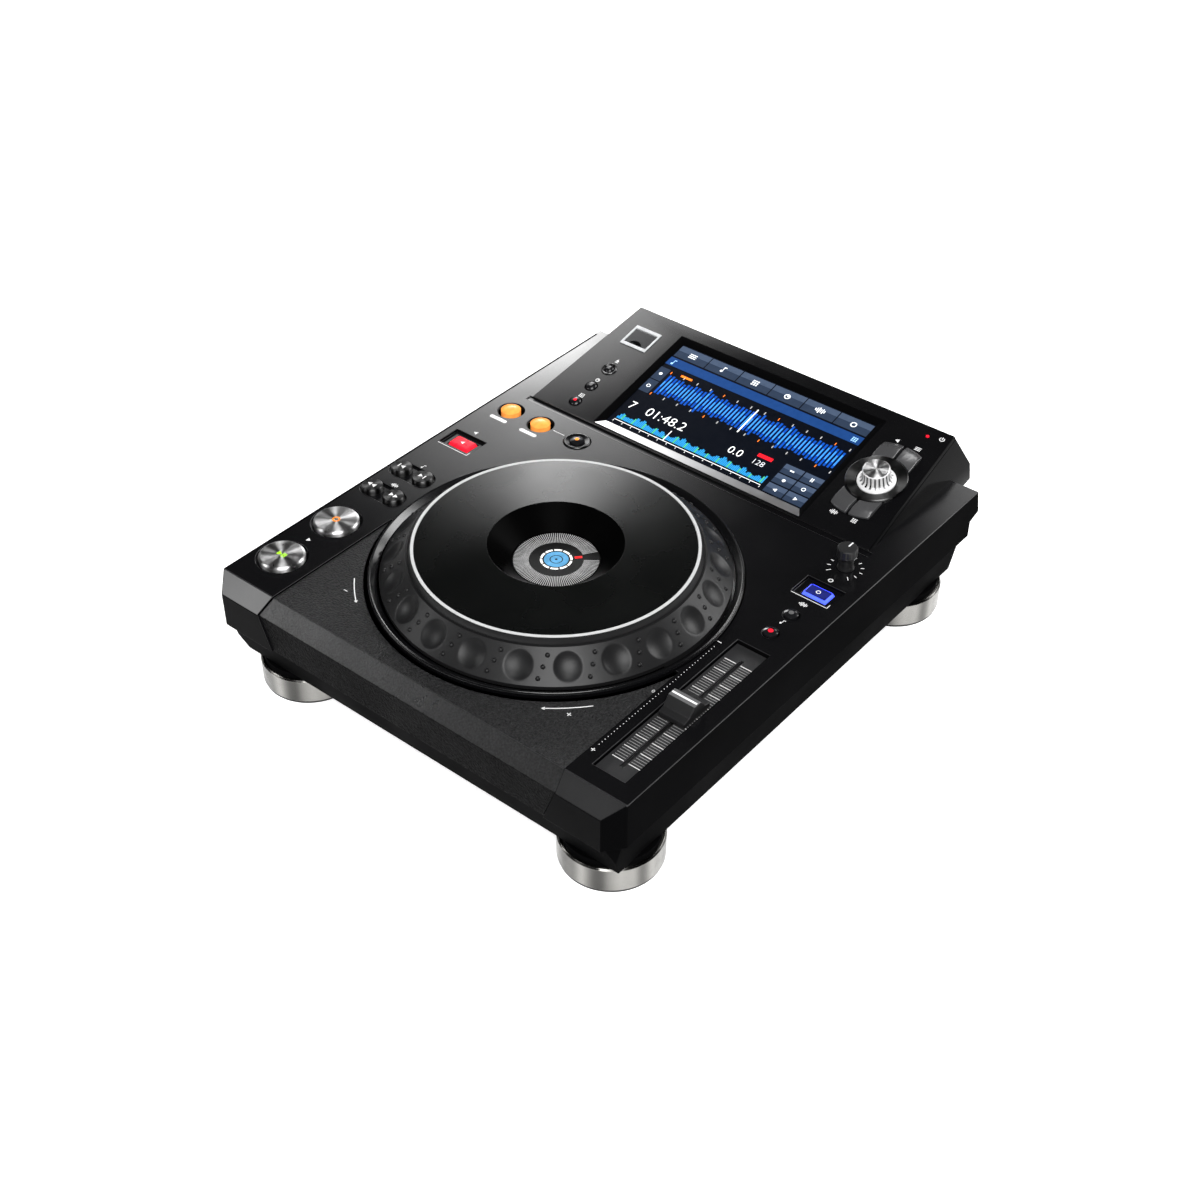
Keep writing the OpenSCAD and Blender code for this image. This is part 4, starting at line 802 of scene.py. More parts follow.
@dataclass
class Jog:
    """The jog wheel, its surround and the small display in its middle."""

    dimples: int = 22
    phase: float = math.radians(3.3)
    ball: float = 20 * MM
    depth: float = 2 * MM
    pip_r: float = 1.55 * MM
    slope_rows: int = 34
    sector_steps: int = 34
    rim_r: float = 104.4 * MM
    rim_h: float = 1.2 * MM
    brow_r: float = 88.6 * MM
    brow_h: float = 16.2 * MM
    top_h: float = 20.3 * MM
    ring_r: float = 85.1 * MM
    ring_w: float = 1.9 * MM
    dish_r: float = 40.5 * MM
    eye_r: float = 25.7 * MM
    eye_h: float = 8 * MM
    lip_r: float = 111.3 * MM
    lip_h: float = 2.4 * MM
    crown: float = 0.09

    def __post_init__(self) -> None:
        """Find the axis from the solids."""
        axis = middle("jog_dial")
        self.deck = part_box("upper_case")[1].z
        self.at = Matrix.Translation((axis.x, axis.y, self.deck))

    def build(self) -> None:
        """Build the wheel's pieces from the outside inwards."""
        self.surround()
        self.dial()
        self.ring()
        self.plate()
        self.eye()
        dress(SHEET, "jog_post")

    def surround(self) -> None:
        """Turn the glossy lip round the wheel."""
        inner = self.rim_r + 1.4 * MM
        lip = Piece("jog_lip")
        lip.lathe(
            [
                (inner, -11 * MM),
                (inner, -0.6 * MM),
                (self.lip_r - 1.7 * MM, self.lip_h - 0.2 * MM),
                (self.lip_r - 0.7 * MM, self.lip_h),
                (self.lip_r, self.lip_h / 2),
                (self.lip_r, -3.2 * MM),
                (self.lip_r + 3.7 * MM, -3.2 * MM),
                (self.lip_r + 3.7 * MM, -5.2 * MM),
                (inner + 2.4 * MM, -5.2 * MM),
                (inner + 2.4 * MM, -11 * MM),
            ],
            self.at,
            steps=256,
            round_by=0.25 * MM,
        )
        lip.finish(PANEL_BLACK, replaces=("jog_surround",), slot="gloss_black")

    def dial(self) -> None:
        """Turn the dial and press the finger dimples and the small pips into its slope."""
        run = [i / self.slope_rows for i in range(self.slope_rows + 1)]
        slope = [
            (self.rim_r + (self.brow_r - self.rim_r) * t, self.rim_h + (self.brow_h - self.rim_h) * t)
            for t in run
        ]
        shelf = self.top_h - 1.8 * MM
        section = [
            (self.rim_r - 2.1 * MM, -3 * MM),
            (self.rim_r, -3 * MM),
            *slope,
            (self.brow_r - 1.5 * MM, self.brow_h),
            (self.brow_r - 1.5 * MM, self.brow_h + 1 * MM),
            (self.ring_r + 0.4 * MM, self.top_h - 0.2 * MM),
            (self.ring_r + 0.1 * MM, self.top_h - 0.2 * MM),
            (self.ring_r + 0.1 * MM, shelf),
            (self.ring_r - 7 * MM, shelf),
            (self.ring_r - 7 * MM, shelf - 2 * MM),
            (self.ring_r - 3 * MM, shelf - 2 * MM),
            (self.ring_r - 3 * MM, 4 * MM),
            (20.05 * MM, 4 * MM),
            (20.05 * MM, -8 * MM),
            (24 * MM, -8 * MM),
            (24 * MM, 1.5 * MM),
            (self.brow_r - 4.1 * MM, 1.5 * MM),
            (self.brow_r - 4.1 * MM, self.brow_h - 3.7 * MM),
            (self.brow_r - 0.5 * MM, self.brow_h - 3.7 * MM),
            (self.rim_r - 2.1 * MM, self.rim_h - 2.2 * MM),
        ]
        sector = Piece("dial_sector")
        pitch = TURN / self.dimples
        start = Matrix.Rotation(self.phase - pitch / 2, 4, "Z")
        sector.lathe(section, start, steps=self.sector_steps, sweep=pitch)
        self.press_dimple(sector)
        self.add_pips(sector)
        dial = Piece("jog_dial_shell", "jog")
        for k in range(self.dimples):
            dial.take(sector.mesh.copy(), self.at @ Matrix.Rotation(k * pitch, 4, "Z"))
        bmesh.ops.remove_doubles(dial.mesh, verts=dial.mesh.verts, dist=1e-6)
        dial.finish(SOFT_BLACK, replaces=("jog_dial",), slot="soft_black", weigh=False)

    def slope_frame(self, angle: float, share: float, lift: float) -> tuple[Vector, Vector]:
        """Give a point over the slope and the slope's normal.

        Args:
            angle: Turn about the axis.
            share: Way up the slope, from 0 at the rim.
            lift: Height over the slope.

        Returns:
            The point and the normal, about the jog's axis.
        """
        lean = math.atan2(self.brow_h - self.rim_h, self.rim_r - self.brow_r)
        out = Vector((math.cos(angle), math.sin(angle), 0))
        normal = out * math.sin(lean) + Vector((0, 0, math.cos(lean)))
        r = self.rim_r + (self.brow_r - self.rim_r) * share
        z = self.rim_h + (self.brow_h - self.rim_h) * share
        return out * r + Vector((0, 0, z)) + normal * lift, normal

    def press_dimple(self, sector: Piece) -> None:
        """Push the slope's points down to a ball in the middle of the sector."""
        centre, normal = self.slope_frame(self.phase, 0.5, self.ball - self.depth)
        for v in sector.mesh.verts:
            away = v.co - centre
            over_rim = v.co.z > self.rim_h + 0.1 * MM
            off_brow = math.hypot(v.co.x, v.co.y) > self.brow_r + 0.1 * MM
            if over_rim and off_brow and away.length < self.ball:
                along = away.dot(normal)
                rest = along * along - away.length_squared + self.ball * self.ball
                v.co -= normal * (along + math.sqrt(rest))

    def add_pips(self, sector: Piece) -> None:
        """Set three small pips in a slanted row beside the dimple."""
        for share, slant in ((0.2, -1.4), (0.5, 0), (0.8, 1.4)):
            angle = self.phase + math.pi / self.dimples + math.radians(slant)
            point, normal = self.slope_frame(angle, share, -0.45 * MM)
            turn = normal.to_track_quat("Z", "Y").to_matrix().to_4x4()
            place = Matrix.Translation(point) @ turn
            bmesh.ops.create_uvsphere(
                sector.mesh, u_segments=14, v_segments=8, radius=self.pip_r, matrix=place
            )

    def ring(self) -> None:
        """Turn the white lit ring."""
        inner, low, high = self.ring_r - self.ring_w, self.top_h - 1.8 * MM, self.top_h + 0.2 * MM
        ring = Piece("jog_light_ring", "jog")
        ring.lathe(
            [(inner, low), (self.ring_r, low), (self.ring_r, high), (inner, high)],
            self.at,
            steps=256,
            round_by=0.3 * MM,
        )
        ring.finish(RING_LIGHT, replaces=("jog_ring",), slot="white_light")

    def plate(self) -> None:
        """Turn the top plate with its dish."""
        low, rim = self.top_h - 1.8 * MM, self.ring_r - self.ring_w - 0.2 * MM
        plate = Piece("jog_top_plate", "jog")
        plate.lathe(
            [
                (rim, low),
                (rim, self.top_h),
                (self.dish_r, self.top_h),
                (self.eye_r + 0.7 * MM, self.eye_h + 0.2 * MM),
                (self.eye_r + 0.7 * MM, self.eye_h - 1.4 * MM),
                (self.eye_r + 1.9 * MM, self.eye_h - 1.4 * MM),
                (self.dish_r + 1 * MM, low),
            ],
            self.at,
            steps=256,
            round_by=0.12 * MM,
        )
        axis = self.at.translation
        for f in plate.mesh.faces:
            spot = f.calc_center_median() - axis
            f.material_index = int(math.hypot(spot.x, spot.y) < self.dish_r - 0.1 * MM)
        skin = Moulded(
            "plate_black", (0.002, 0.0023, 0.0022), rough=0.27, grain=5200, depth=4e-7, gloss=0.16,
            crown=self.crown, centre=tuple(axis),
        )
        plate.finish(skin, DISH_BLACK, replaces=("jog_plate",), slot="satin_black")

    def eye(self) -> None:
        """Build the round display: a dark disc with marks that glow."""
        top = self.eye_h - 0.1 * MM
        disc = Piece("eye_disc")
        disc.lathe(
            [
                (0, -2 * MM), (11.95 * MM, -2 * MM), (11.95 * MM, self.eye_h - 2.8 * MM),
                (self.eye_r, self.eye_h - 2.8 * MM), (self.eye_r, top), (0, top),
            ],
            self.at,
        )
        disc.finish(DEEP_BLACK, replaces=("jog_display",), slot="screen")
        at = self.at @ Matrix.Translation((0, 0, top))
        gap = math.radians(48)
        spokes = Marks("eye_spokes", at)
        for k in range(3, 118):
            spokes.spoke(gap + k * TURN / 121, 16.2 * MM, 25.4 * MM, 0.36 * MM)
        spokes.finish(Lit("eye_grey", (0.36, 0.36, 0.36), glow=0.6, gloss=0.1))
        dashes = Marks("eye_dashes", at)
        for k in range(10):
            dashes.arc(8.3 * MM, 9.6 * MM, k * TURN / 10, TURN / 10 * 0.82)
        dashes.finish(Lit("eye_white", (0.9, 0.9, 0.85), glow=0.75))
        hub = Marks("eye_hub", at)
        hub.arc(0.8 * MM, 3.4 * MM, 0, TURN)
        hub.arc(4.0 * MM, 7.3 * MM, 0, TURN)
        hub.finish(Lit("eye_blue", (0.08, 0.26, 0.45), glow=0.5, gloss=0.1))
        hand = Marks("eye_hand", at)
        hand.spoke(gap, 11 * MM, 15.4 * MM, 1.9 * MM)
        hand.finish(Lit("eye_red", (0.7, 0.01, 0.01), glow=0.7))


@dataclass
class Display:
    """The tilted head: housing, panel, screen, USB door, selector and small buttons."""

    tilt: float = math.radians(12.3)
    lip: float = 1 * MM
    edge: float = 0.35 * MM
    front_band: float = 1.5 * MM
    side_x: float = 122 * MM
    panel_share: float = 0.97
    flutes: int = 20
    flute_span: Point = (1.6 * MM, 8.8 * MM)
    ripple_span: Point = (1.8 * MM, 9.1 * MM)
    ripple: float = 0.03
    barrel_r: float = 8.2 * MM
    cap_from: float = 9.6 * MM
    print_gap: float = 12 * MM

    def __post_init__(self) -> None:
        """Find the panel's plane from the solids."""
        low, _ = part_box("display_panel")
        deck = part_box("upper_case")[1].z
        self.plane = Matrix.Translation((0, low.y, deck + self.lip)) @ Matrix.Rotation(self.tilt, 4, "X")
        self.normal = self.plane.to_3x3() @ UP

    def at(self, x: float, v: float, h: float = 0.0) -> Matrix:
        """Give a place on the panel: sideways, up the slope and out of it."""
        return self.plane @ Matrix.Translation((x, v, h))

    def spot(self, node: str) -> tuple[float, float]:
        """Give where on the panel a solid's middle is."""
        local = self.plane.inverted() @ middle(node)
        return local.x, local.y

    def build(self) -> None:
        """Build the head's pieces."""
        collar = self.turned("collar_metal", 0.07)
        for name, node, finish, slot, edge in (
            ("head_shell", "display_housing", SATIN_BLACK, "satin_black", self.edge * 1.6),
            ("head_panel", "display_panel", PANEL_BLACK, "gloss_black", self.edge),
            ("screen_sill", "screen_strip", STRIP, "silver", self.edge * 0.3),
            ("usb_light_frame", "usb_frame", FRAME_LIGHT, "white_light", self.edge * 0.6),
            ("selector_collar", "selector_ring", collar, "gloss_black", self.edge * 0.4),
        ):
            piece = Piece(name)
            is_panel = node == "display_panel"
            piece.solid(node, edge, edge_finish=int(is_panel))
            if is_panel:
                # Finishes by the way each face looks: the panel's off-plane faces and outer sides darker
                # copies of its plastic, rear faces a lighter black; painted shade and painted light.
                piece.choose(self.normal, self.panel_share, 1)
            piece.face(REAR, 0.5, 2)
            for f in piece.mesh.faces:
                spot = f.calc_center_median()
                if abs(f.normal.x) > 0.6 and abs(spot.x) > self.side_x:
                    f.material_index = 3
                if spot.y < self.plane.translation.y + self.front_band:
                    f.material_index = 0
            piece.finish(finish, SATIN_BLACK, REAR_BLACK, SIDE_GLOSS, replaces=(node,), slot=slot)
        clad("usb_door", "usb_lid", self.edge * 0.4, LID_GREY, "grey_plastic", "usb_lid")
        grey = replace(KEY_GREY, crown=0.3, centre=self.knob_centre())
        for node in ("back_button", "tag_button", "filter_button", "shortcut_button"):
            clad(f"{node}_cap", node, self.edge, grey, "grey_plastic", node)
        dress(SHEET, "lcd_module", "usb_socket", "selector_shaft")
        dress(GLASS_BLACK, "screen_glass")
        dress(RED_LIGHT, "standby_led")
        self.small_buttons()
        self.knob()
        self.prints()

    def knob_centre(self) -> Color:
        """Give the point where the selector's axis meets the panel."""
        return tuple(self.at(*self.spot("selector_shaft")).translation)

    def turned(self, name: str, tone: float) -> Turned:
        """Give turned metal about the selector's axis."""
        # The turned metal carries fans of painted reflection in its colour.
        return Turned(
            name, (tone, tone, tone), rough=0.36, cut=Cut.FACE, centre=self.knob_centre(),
            axis=tuple(self.normal), painted_bands=0.3,
        )

    def small_buttons(self) -> None:
        """Build the three round buttons of the left column."""
        for node, lamp in (("usb_stop", CAP_TOP), ("time_mode", CAP_TOP), ("quantize_button", RED_LIGHT)):
            clad(f"{node}_cap", node, self.edge * 1.2, DOME_BLACK, "gloss_black", node, segments=3)
            x, v = self.spot(node)
            corner = max((self.plane.inverted() @ p.co).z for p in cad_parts[node].data.vertices)
            mark = Marks(f"{node}_mark", self.at(x, v, corner), node)
            mark.dot(0, 0, 1.2 * MM)
            mark.finish(lamp)

    def prints(self) -> None:
        """Print the panel's small symbols."""
        marks = Marks("panel_prints", self.at(0, 0))
        for node, icon, rise in (
            ("usb_stop", Icon.EJECT, 9 * MM),
            ("time_mode", Icon.CLOCK, 7 * MM),
            ("quantize_button", Icon.GRID, 6.6 * MM),
        ):
            x, v = self.spot(node)
            marks.icon(icon, x, v + rise, 3.2 * MM)
        for node, icon, side in (
            ("back_button", Icon.LEFT, 1), ("tag_button", Icon.LIST, 1), ("filter_button", Icon.WAVE, -1),
            ("shortcut_button", Icon.GRID, -1),
        ):
            x, v = self.spot(node)
            marks.icon(icon, x, v + side * self.print_gap, 3.2 * MM)
        x, v = self.spot("standby_led")
        marks.icon(Icon.POWER, x + 9.3 * MM, v + 2 * MM, 3.6 * MM)
        marks.finish(INK_WHITE)

    def knob(self) -> None:
        """Turn the selector knob: a pale skirt (painted reflection), a fluted barrel with painted shade in
        its valleys, a turned cap.
        """
        knob = Piece("selector_grip", "selector_knob")
        section = [
            (3.05, -0.9), (12.3, -0.9), (12.3, 0.3), (11.7, 0.8), (10.6, 1.3), (9.7, 2.0), (9.2, 3.0),
            (8.9, 4.6), (8.7, 9.2), (8.1, 9.9), (0, 9.9), (0, 8.6), (3.05, 8.6),
        ]
        section = [(r * MM, z * MM) for r, z in section]
        knob.lathe(section, Matrix(), steps=self.flutes * 10, round_by=0.12 * MM)
        flute_low, flute_high = self.flute_span
        ripple_low, ripple_high = self.ripple_span
        for f in knob.mesh.faces:
            spot = f.calc_center_median()
            # Faces in the flute valleys get the darker metal: painted shade.
            shaded_valley = math.cos(self.flutes * math.atan2(spot.y, spot.x)) < -0.25
            if spot.z > self.cap_from:
                f.material_index = 1
            elif shaded_valley and flute_low < spot.z < flute_high and spot.xy.length > self.barrel_r:
                f.material_index = 2
        for p in knob.mesh.verts:
            if ripple_low < p.co.z < ripple_high and p.co.xy.length > self.barrel_r:
                ripple = 1 + self.ripple * (math.cos(self.flutes * math.atan2(p.co.y, p.co.x)) - 1)
                p.co.x, p.co.y = p.co.x * ripple, p.co.y * ripple
        bmesh.ops.transform(
            knob.mesh, matrix=self.at(*self.spot("selector_shaft")), verts=knob.mesh.verts
        )
        cap = self.turned("selector_cap", 0.9)
        knob.finish(SKIRT_PAINTED_REFLECTION, cap, FLUTE_VALLEY_SHADE, replaces=("selector_knob",), slot="bright_metal")


@dataclass
class Screen:
    """What the touch screen shows: a plain player's page in a layout of its own."""

    head: Display
    half_w: float = 77.3 * MM
    low: float = 8.4 * MM
    high: float = 94.3 * MM
    glass: float = -2.5 * MM
    beats: int = 13
    bars: int = 52
    overview_bars: int = 96

    def layer(self, name: str, level: int = 0) -> Marks:
        """Start a layer of the page, a little higher than the one below it."""
        return Marks(name, self.head.at(0, 0, self.glass + (0.05 + level * 0.08) * MM), lift=0.03 * MM)

    def build(self) -> None:
        """Lay the page's layers."""
        self.frame()
        self.wave()
        self.overview()
        self.figures()

    def frame(self) -> None:
        """Lay the page's ground, its tabs, its title bar and its keys."""
        mid, tall = (self.low + self.high) / 2, self.high - self.low
        ground = self.layer("page_ground")
        ground.bar(0, mid, 2 * self.half_w, tall)
        ground.finish(PageInk("page_ground", (0.002, 0.003, 0.006), glow=0.4), "screen")
        slate, shine = self.layer("page_tabs", 1), self.layer("page_tab_shine", 2)
        icons = self.layer("page_icons", 3)
        wide = 2 * self.half_w / 6
        for k, icon in enumerate((Icon.LIST, Icon.NOTE, Icon.GRID, Icon.CLOCK, Icon.WAVE, Icon.RING)):
            x = (k - 2.5) * wide
            slate.bar(x, self.high - 6.4 * MM, wide - 0.8 * MM, 11 * MM)
            shine.bar(x, self.high - 3.4 * MM, wide - 0.8 * MM, 5 * MM)
            icons.icon(icon, x, self.high - 6.6 * MM, 4.4 * MM)
        for k in range(6):
            x, v = self.half_w - (22.5 - 15 * (k % 2)) * MM, self.low + (5.5 + 9.4 * (k // 2)) * MM
            slate.bar(x, v, 14 * MM, 8.2 * MM)
            shine.bar(x, v + 2.1 * MM, 14 * MM, 4 * MM)
            icons.icon((Icon.LEFT, Icon.PLAY, Icon.DOT, Icon.RING, Icon.BAR, Icon.PAUSE)[k], x, v, 3 * MM)
        for k in range(2):
            x, v = 4 * MM - self.half_w, self.high - (31 + 13.5 * k) * MM
            slate.bar(x, v, 8 * MM, 12.6 * MM)
            icons.icon((Icon.DOT, Icon.RING)[k], x, v, 3 * MM)
        slate.finish(PageInk("page_slate", (0.018, 0.028, 0.05), glow=0.8))
        shine.finish(PageInk("page_slate_light", (0.04, 0.058, 0.095), glow=0.85))
        icons.finish(PageInk("page_white", (0.85, 0.88, 0.9), glow=0.8))
        title = self.layer("page_title", 1)
        title.bar(0, self.high - 17.2 * MM, 2 * self.half_w, 7.6 * MM)
        title.finish(PageInk("page_blue", (0.008, 0.035, 0.13), glow=0.9))
        words = self.layer("page_title_marks", 2)
        words.icon(Icon.NOTE, 5 * MM - self.half_w, self.high - 17.6 * MM, 4 * MM)
        words.icon(Icon.GRID, self.half_w - 5 * MM, self.high - 17.6 * MM, 3.6 * MM)
        words.finish(PageInk("page_pale_blue", (0.3, 0.55, 0.85), glow=0.8))

    def wave(self) -> None:
        """Lay the large wave with its beats and its middle line."""
        mid, left, right = self.high - 38.5 * MM, 10 * MM - self.half_w, self.half_w - 2 * MM
        step = (right - left) / self.bars
        deep, core = self.layer("wave_body", 1), self.layer("wave_core", 2)
        for k in range(self.bars):
            beat = (k * self.beats / self.bars) % 1
            swing = 0.55 + 0.3 * math.sin(k * 0.9) * math.sin(k * 0.37) + 0.15 * math.sin(k * 2.3)
            tall = (13 + 11 * swing * math.exp(-0.9 * beat)) * MM
            x = left + (k + 0.5) * step
            deep.bar(x, mid, step * 0.56, tall)
            core.bar(x, mid, step * 0.3, tall * (0.3 + 0.4 * abs(math.sin(k * 1.7))))
        deep.finish(PageInk("wave_blue", (0.004, 0.055, 0.32), glow=0.95))
        core.finish(PageInk("wave_light", (0.05, 0.26, 0.75), glow=0.95))
        ticks, reds = self.layer("beat_ticks", 3), self.layer("beat_reds", 3)
        for k in range(self.beats + 1):
            x = left + k * (right - left) / self.beats
            for side in (-1, 1):
                (ticks if k % 4 else reds).bar(x, mid + side * 11.4 * MM, 0.6 * MM, 2.2 * MM)
        ticks.finish(PageInk("page_grey", (0.45, 0.45, 0.45), glow=0.7))
        reds.bar(left + 12 * MM, mid + 12.6 * MM, 9 * MM, 1.8 * MM)
        reds.finish(PageInk("page_orange", (0.9, 0.2, 0.02), glow=0.8))
        line = self.layer("wave_middle_line", 4)
        line.bar((left + right) / 2, mid, 0.8 * MM, 24 * MM)
        line.finish(PageInk("page_bright", (1, 1, 1), glow=0.9))

    def overview(self) -> None:
        """Lay the small wave of the whole track with its playing point."""
        low, left, right = self.low + 6 * MM, 4 * MM - self.half_w, self.half_w - 33 * MM
        step = (right - left) / self.overview_bars
        cool, warm = self.layer("overview_cool", 1), self.layer("overview_warm", 1)
        for k in range(self.overview_bars):
            swing = 3.4 * abs(math.sin(k * 0.71) * math.cos(k * 0.23)) + 2 * abs(math.sin(k * 0.11))
            tall = (2 + swing) * MM
            (warm if k % 7 == 3 else cool).bar(left + (k + 0.5) * step, low + tall / 2, step * 0.8, tall)
        cool.finish(PageInk("overview_cyan", (0.02, 0.22, 0.5), glow=0.9))
        warm.finish(PageInk("overview_green", (0.06, 0.4, 0.2), glow=0.9))
        rule = self.layer("overview_rule", 2)
        rule.bar((left + right) / 2, low - 1.6 * MM, right - left, 0.5 * MM)
        for k in range(17):
            rule.bar(left + k * (right - left) / 16, low - 3 * MM, 0.4 * MM, 1.2 * MM)
        rule.bar(left + 0.34 * (right - left), low + 3.4 * MM, 0.7 * MM, 10 * MM)
        rule.finish(PageInk("page_rule", (0.8, 0.8, 0.8), glow=0.7))

    def figures(self) -> None:
        """Lay the track's number, its time and its speed."""
        base = self.low + 17.5 * MM
        large = self.layer("page_figures", 2)
        large.figures("7", 4 * MM - self.half_w, base, 10 * MM)
        large.figures("01:48.2", 18 * MM - self.half_w, base, 11 * MM)
        large.figures("0.0", 8 * MM, base, 9 * MM)
        large.finish(PageInk("figure_white", (0.95, 0.95, 0.95), glow=0.85))
        small = self.layer("page_small_figures", 2)
        small.figures("128", 27 * MM, base, 6.4 * MM)
        small.finish(PageInk("figure_grey", (0.6, 0.62, 0.65), glow=0.8))
        red = self.layer("page_red_tag", 1)
        red.bar(33 * MM, base + 8.4 * MM, 11 * MM, 3 * MM)
        red.finish(PageInk("page_red", (0.75, 0.01, 0.02), glow=0.8))


@dataclass
class Controls:
    """What the deck carries: buttons, knob, fader and their printed marks."""

    cap_r: float = 14.2 * MM
    pair_r: float = 6.9 * MM
    loop_r: float = 6.6 * MM
    small_r: float = 4.3 * MM
    reloop_r: float = 4.6 * MM
    edge: float = 0.3 * MM
    arrow_r: float = 119 * MM
    sign_r: float = 124 * MM

    def __post_init__(self) -> None:
        """Find the deck's height."""
        self.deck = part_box("upper_case")[1].z

    def build(self) -> None:
        """Build the deck's controls."""
        self.transport()
        self.pairs()
        self.loops()
        self.keys()
        self.speed()
        self.fader()
        self.trim_prints()
        self.deck_prints()
        self.painted_edge_shade()

    def stand(self, node: str) -> Matrix:
        """Give the place on the top of a solid's box, over its middle."""
        spot = middle(node)
        return Matrix.Translation((spot.x, spot.y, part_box(node)[1].z))

    def mark(
        self, name: str, node: str, *icons: Icon, size: float, finish: Finish, dome: Sequence[Point] = ()
    ) -> None:
        """Print icons side by side on top of a button.

        Args:
            name: The piece's name.
            node: The button.
            icons: What is printed, from left to right.
            size: Height of an icon.
            finish: Finish of the print.
            dome: The button's falling heights, where it is domed.
        """
        marks = Marks(name, self.stand(node), node, lift=(0.14 if dome else 0.06) * MM)
        for k, icon in enumerate(icons):
            marks.icon(icon, (k - (len(icons) - 1) / 2) * size, 0, size)
        if dome:
            marks.drape(dome)
        marks.finish(finish)

    def transport(self) -> None:
        """Turn the two large metal buttons."""
        for node, icons, light, size in (
            ("play_button", (Icon.PLAY, Icon.PAUSE), GREEN_LIGHT, 3.8 * MM),
            ("cue_button", (Icon.RING,), AMBER_LIGHT, 4.8 * MM),
        ):
            self.turned_cap(node, self.cap_r, 0.62, "silver")
            self.mark(f"{node}_mark", node, *icons, size=size, finish=light)

    def turned_cap(self, node: str, r: float, tone: float, slot: str) -> None:
        """Turn a flat metal button in place of a solid.

        Args:
            node: The solid.
            r: Radius of the button.
            tone: How light its metal is.
            slot: The record's material slot.
        """
        top = self.stand(node)
        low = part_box(node)[0].z - top.translation.z
        section = [
            (0, low), (r - 0.2 * MM, low), (r, -1.6 * MM), (r - 0.25 * MM, -0.7 * MM), (r * 0.91, 0),
            (0, -0.05 * MM),
        ]
        # The cap's colour carries fans of painted reflection.
        metal = Turned(
            f"{node}_metal", (tone, tone, tone), rough=0.34, cut=Cut.FACE, centre=tuple(top.translation),
            marks=14000, painted_bands=0.25,
        )
        cap = Piece(f"{node}_cap", node)
        cap.lathe(section, top, round_by=0.25 * MM)
        cap.finish(metal, replaces=(node,), slot=slot)

    def dome(self, node: str, r: float, drop: float, finish: Finish, slot: str) -> list[Point]:
        """Turn a domed button in place of a solid.

        Args:
            node: The solid.
            r: Radius of the dome.
            drop: Fall from the middle to the rim.
            finish: The dome's finish.
            slot: The record's material slot.

        Returns:
            The dome's falling heights at growing radii.
        """
        top = self.stand(node)
        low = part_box(node)[0].z - top.translation.z
        arch = [(r * t / 10, -drop * (t / 10) ** 2.4) for t in range(11)]
        cap = Piece(f"{node}_cap", node)
        cap.lathe([*arch, (r, low), (0, low)], top, steps=72)
        cap.finish(finish, replaces=(node,), slot=slot)
        return arch

    def pairs(self) -> None:
        """Build the four seek buttons."""
        for node, icons in (
            ("search_back", (Icon.LEFT, Icon.LEFT)),
            ("search_next", (Icon.PLAY, Icon.PLAY)),
            ("track_back", (Icon.STOP_BAR, Icon.LEFT)),
            ("track_next", (Icon.PLAY, Icon.STOP_BAR)),
        ):
            self.turned_cap(node, self.pair_r, 0.06, "gloss_black")
            self.mark(f"{node}_mark", node, *icons, size=3.4 * MM, finish=INK_WHITE)

    def loops(self) -> None:
        """Build the two lit loop buttons and the ringed one beside them."""
        for node in ("loop_in", "loop_out"):
            self.dome(node, self.loop_r, 1.6 * MM, ORANGE_LIGHT, "orange_light")
        arch = self.dome("reloop_button", self.reloop_r, 0.9 * MM, DOME_BLACK, "gloss_black")
        self.mark("reloop_mark", "reloop_button", Icon.DOT, size=3.4 * MM, finish=AMBER_LIGHT, dome=arch)
        clad("button_collars", "button_rings", self.edge * 0.6, PANEL_BLACK, "gloss_black")

    def keys(self) -> None:
        """Build the two lit blocks and the small round buttons."""
        for node, top, side in (
            ("direction_button", RED_LIGHT, RED_LIGHT),
            ("jog_mode_button", BLUE_DARK, BLUE_LIGHT),
        ):
            key = Piece(f"{node}_key", node)
            key.solid(node, self.edge * 3)
            for f in key.mesh.faces:
                f.material_index = int(f.normal.z > 0.9)
            key.finish(side, top, replaces=(node,), slot=side.name)
        self.mark("direction_mark", "direction_button", Icon.LEFT, size=3 * MM, finish=INK_WHITE)
        self.mark("jog_mode_mark", "jog_mode_button", Icon.RING, size=3 * MM, finish=INK_WHITE)
        for node in ("tempo_range", "master_tempo"):
            arch = self.dome(node, self.small_r, 0.8 * MM, DOME_BLACK, "gloss_black")
            lamp = RED_LIGHT if node == "master_tempo" else CAP_TOP
            self.mark(f"{node}_mark", node, Icon.DOT, size=4 * MM, finish=lamp, dome=arch)

    def speed(self) -> None:
        """Dress the speed knob and print its pointer and its ticks."""
        clad("speed_grip", "speed_knob", self.edge * 0.6, CAP_BLACK, "soft_black", "speed_knob")
        top = self.stand("speed_knob")
        pointer = Marks("speed_pointer", top, "speed_knob")
        pointer.bar(0, 3.4 * MM, 0.9 * MM, 4.6 * MM)
        pointer.finish(INK_WHITE)
        ticks = Marks(
            "speed_ticks", Matrix.Translation((top.translation.x, top.translation.y, self.deck))
        )
        for k in range(11):
            ticks.spoke(math.radians(90 + 28 * (k - 5)), 9 * MM, (11 if k % 5 else 12) * MM, 0.5 * MM)
        ticks.finish(INK_WHITE)

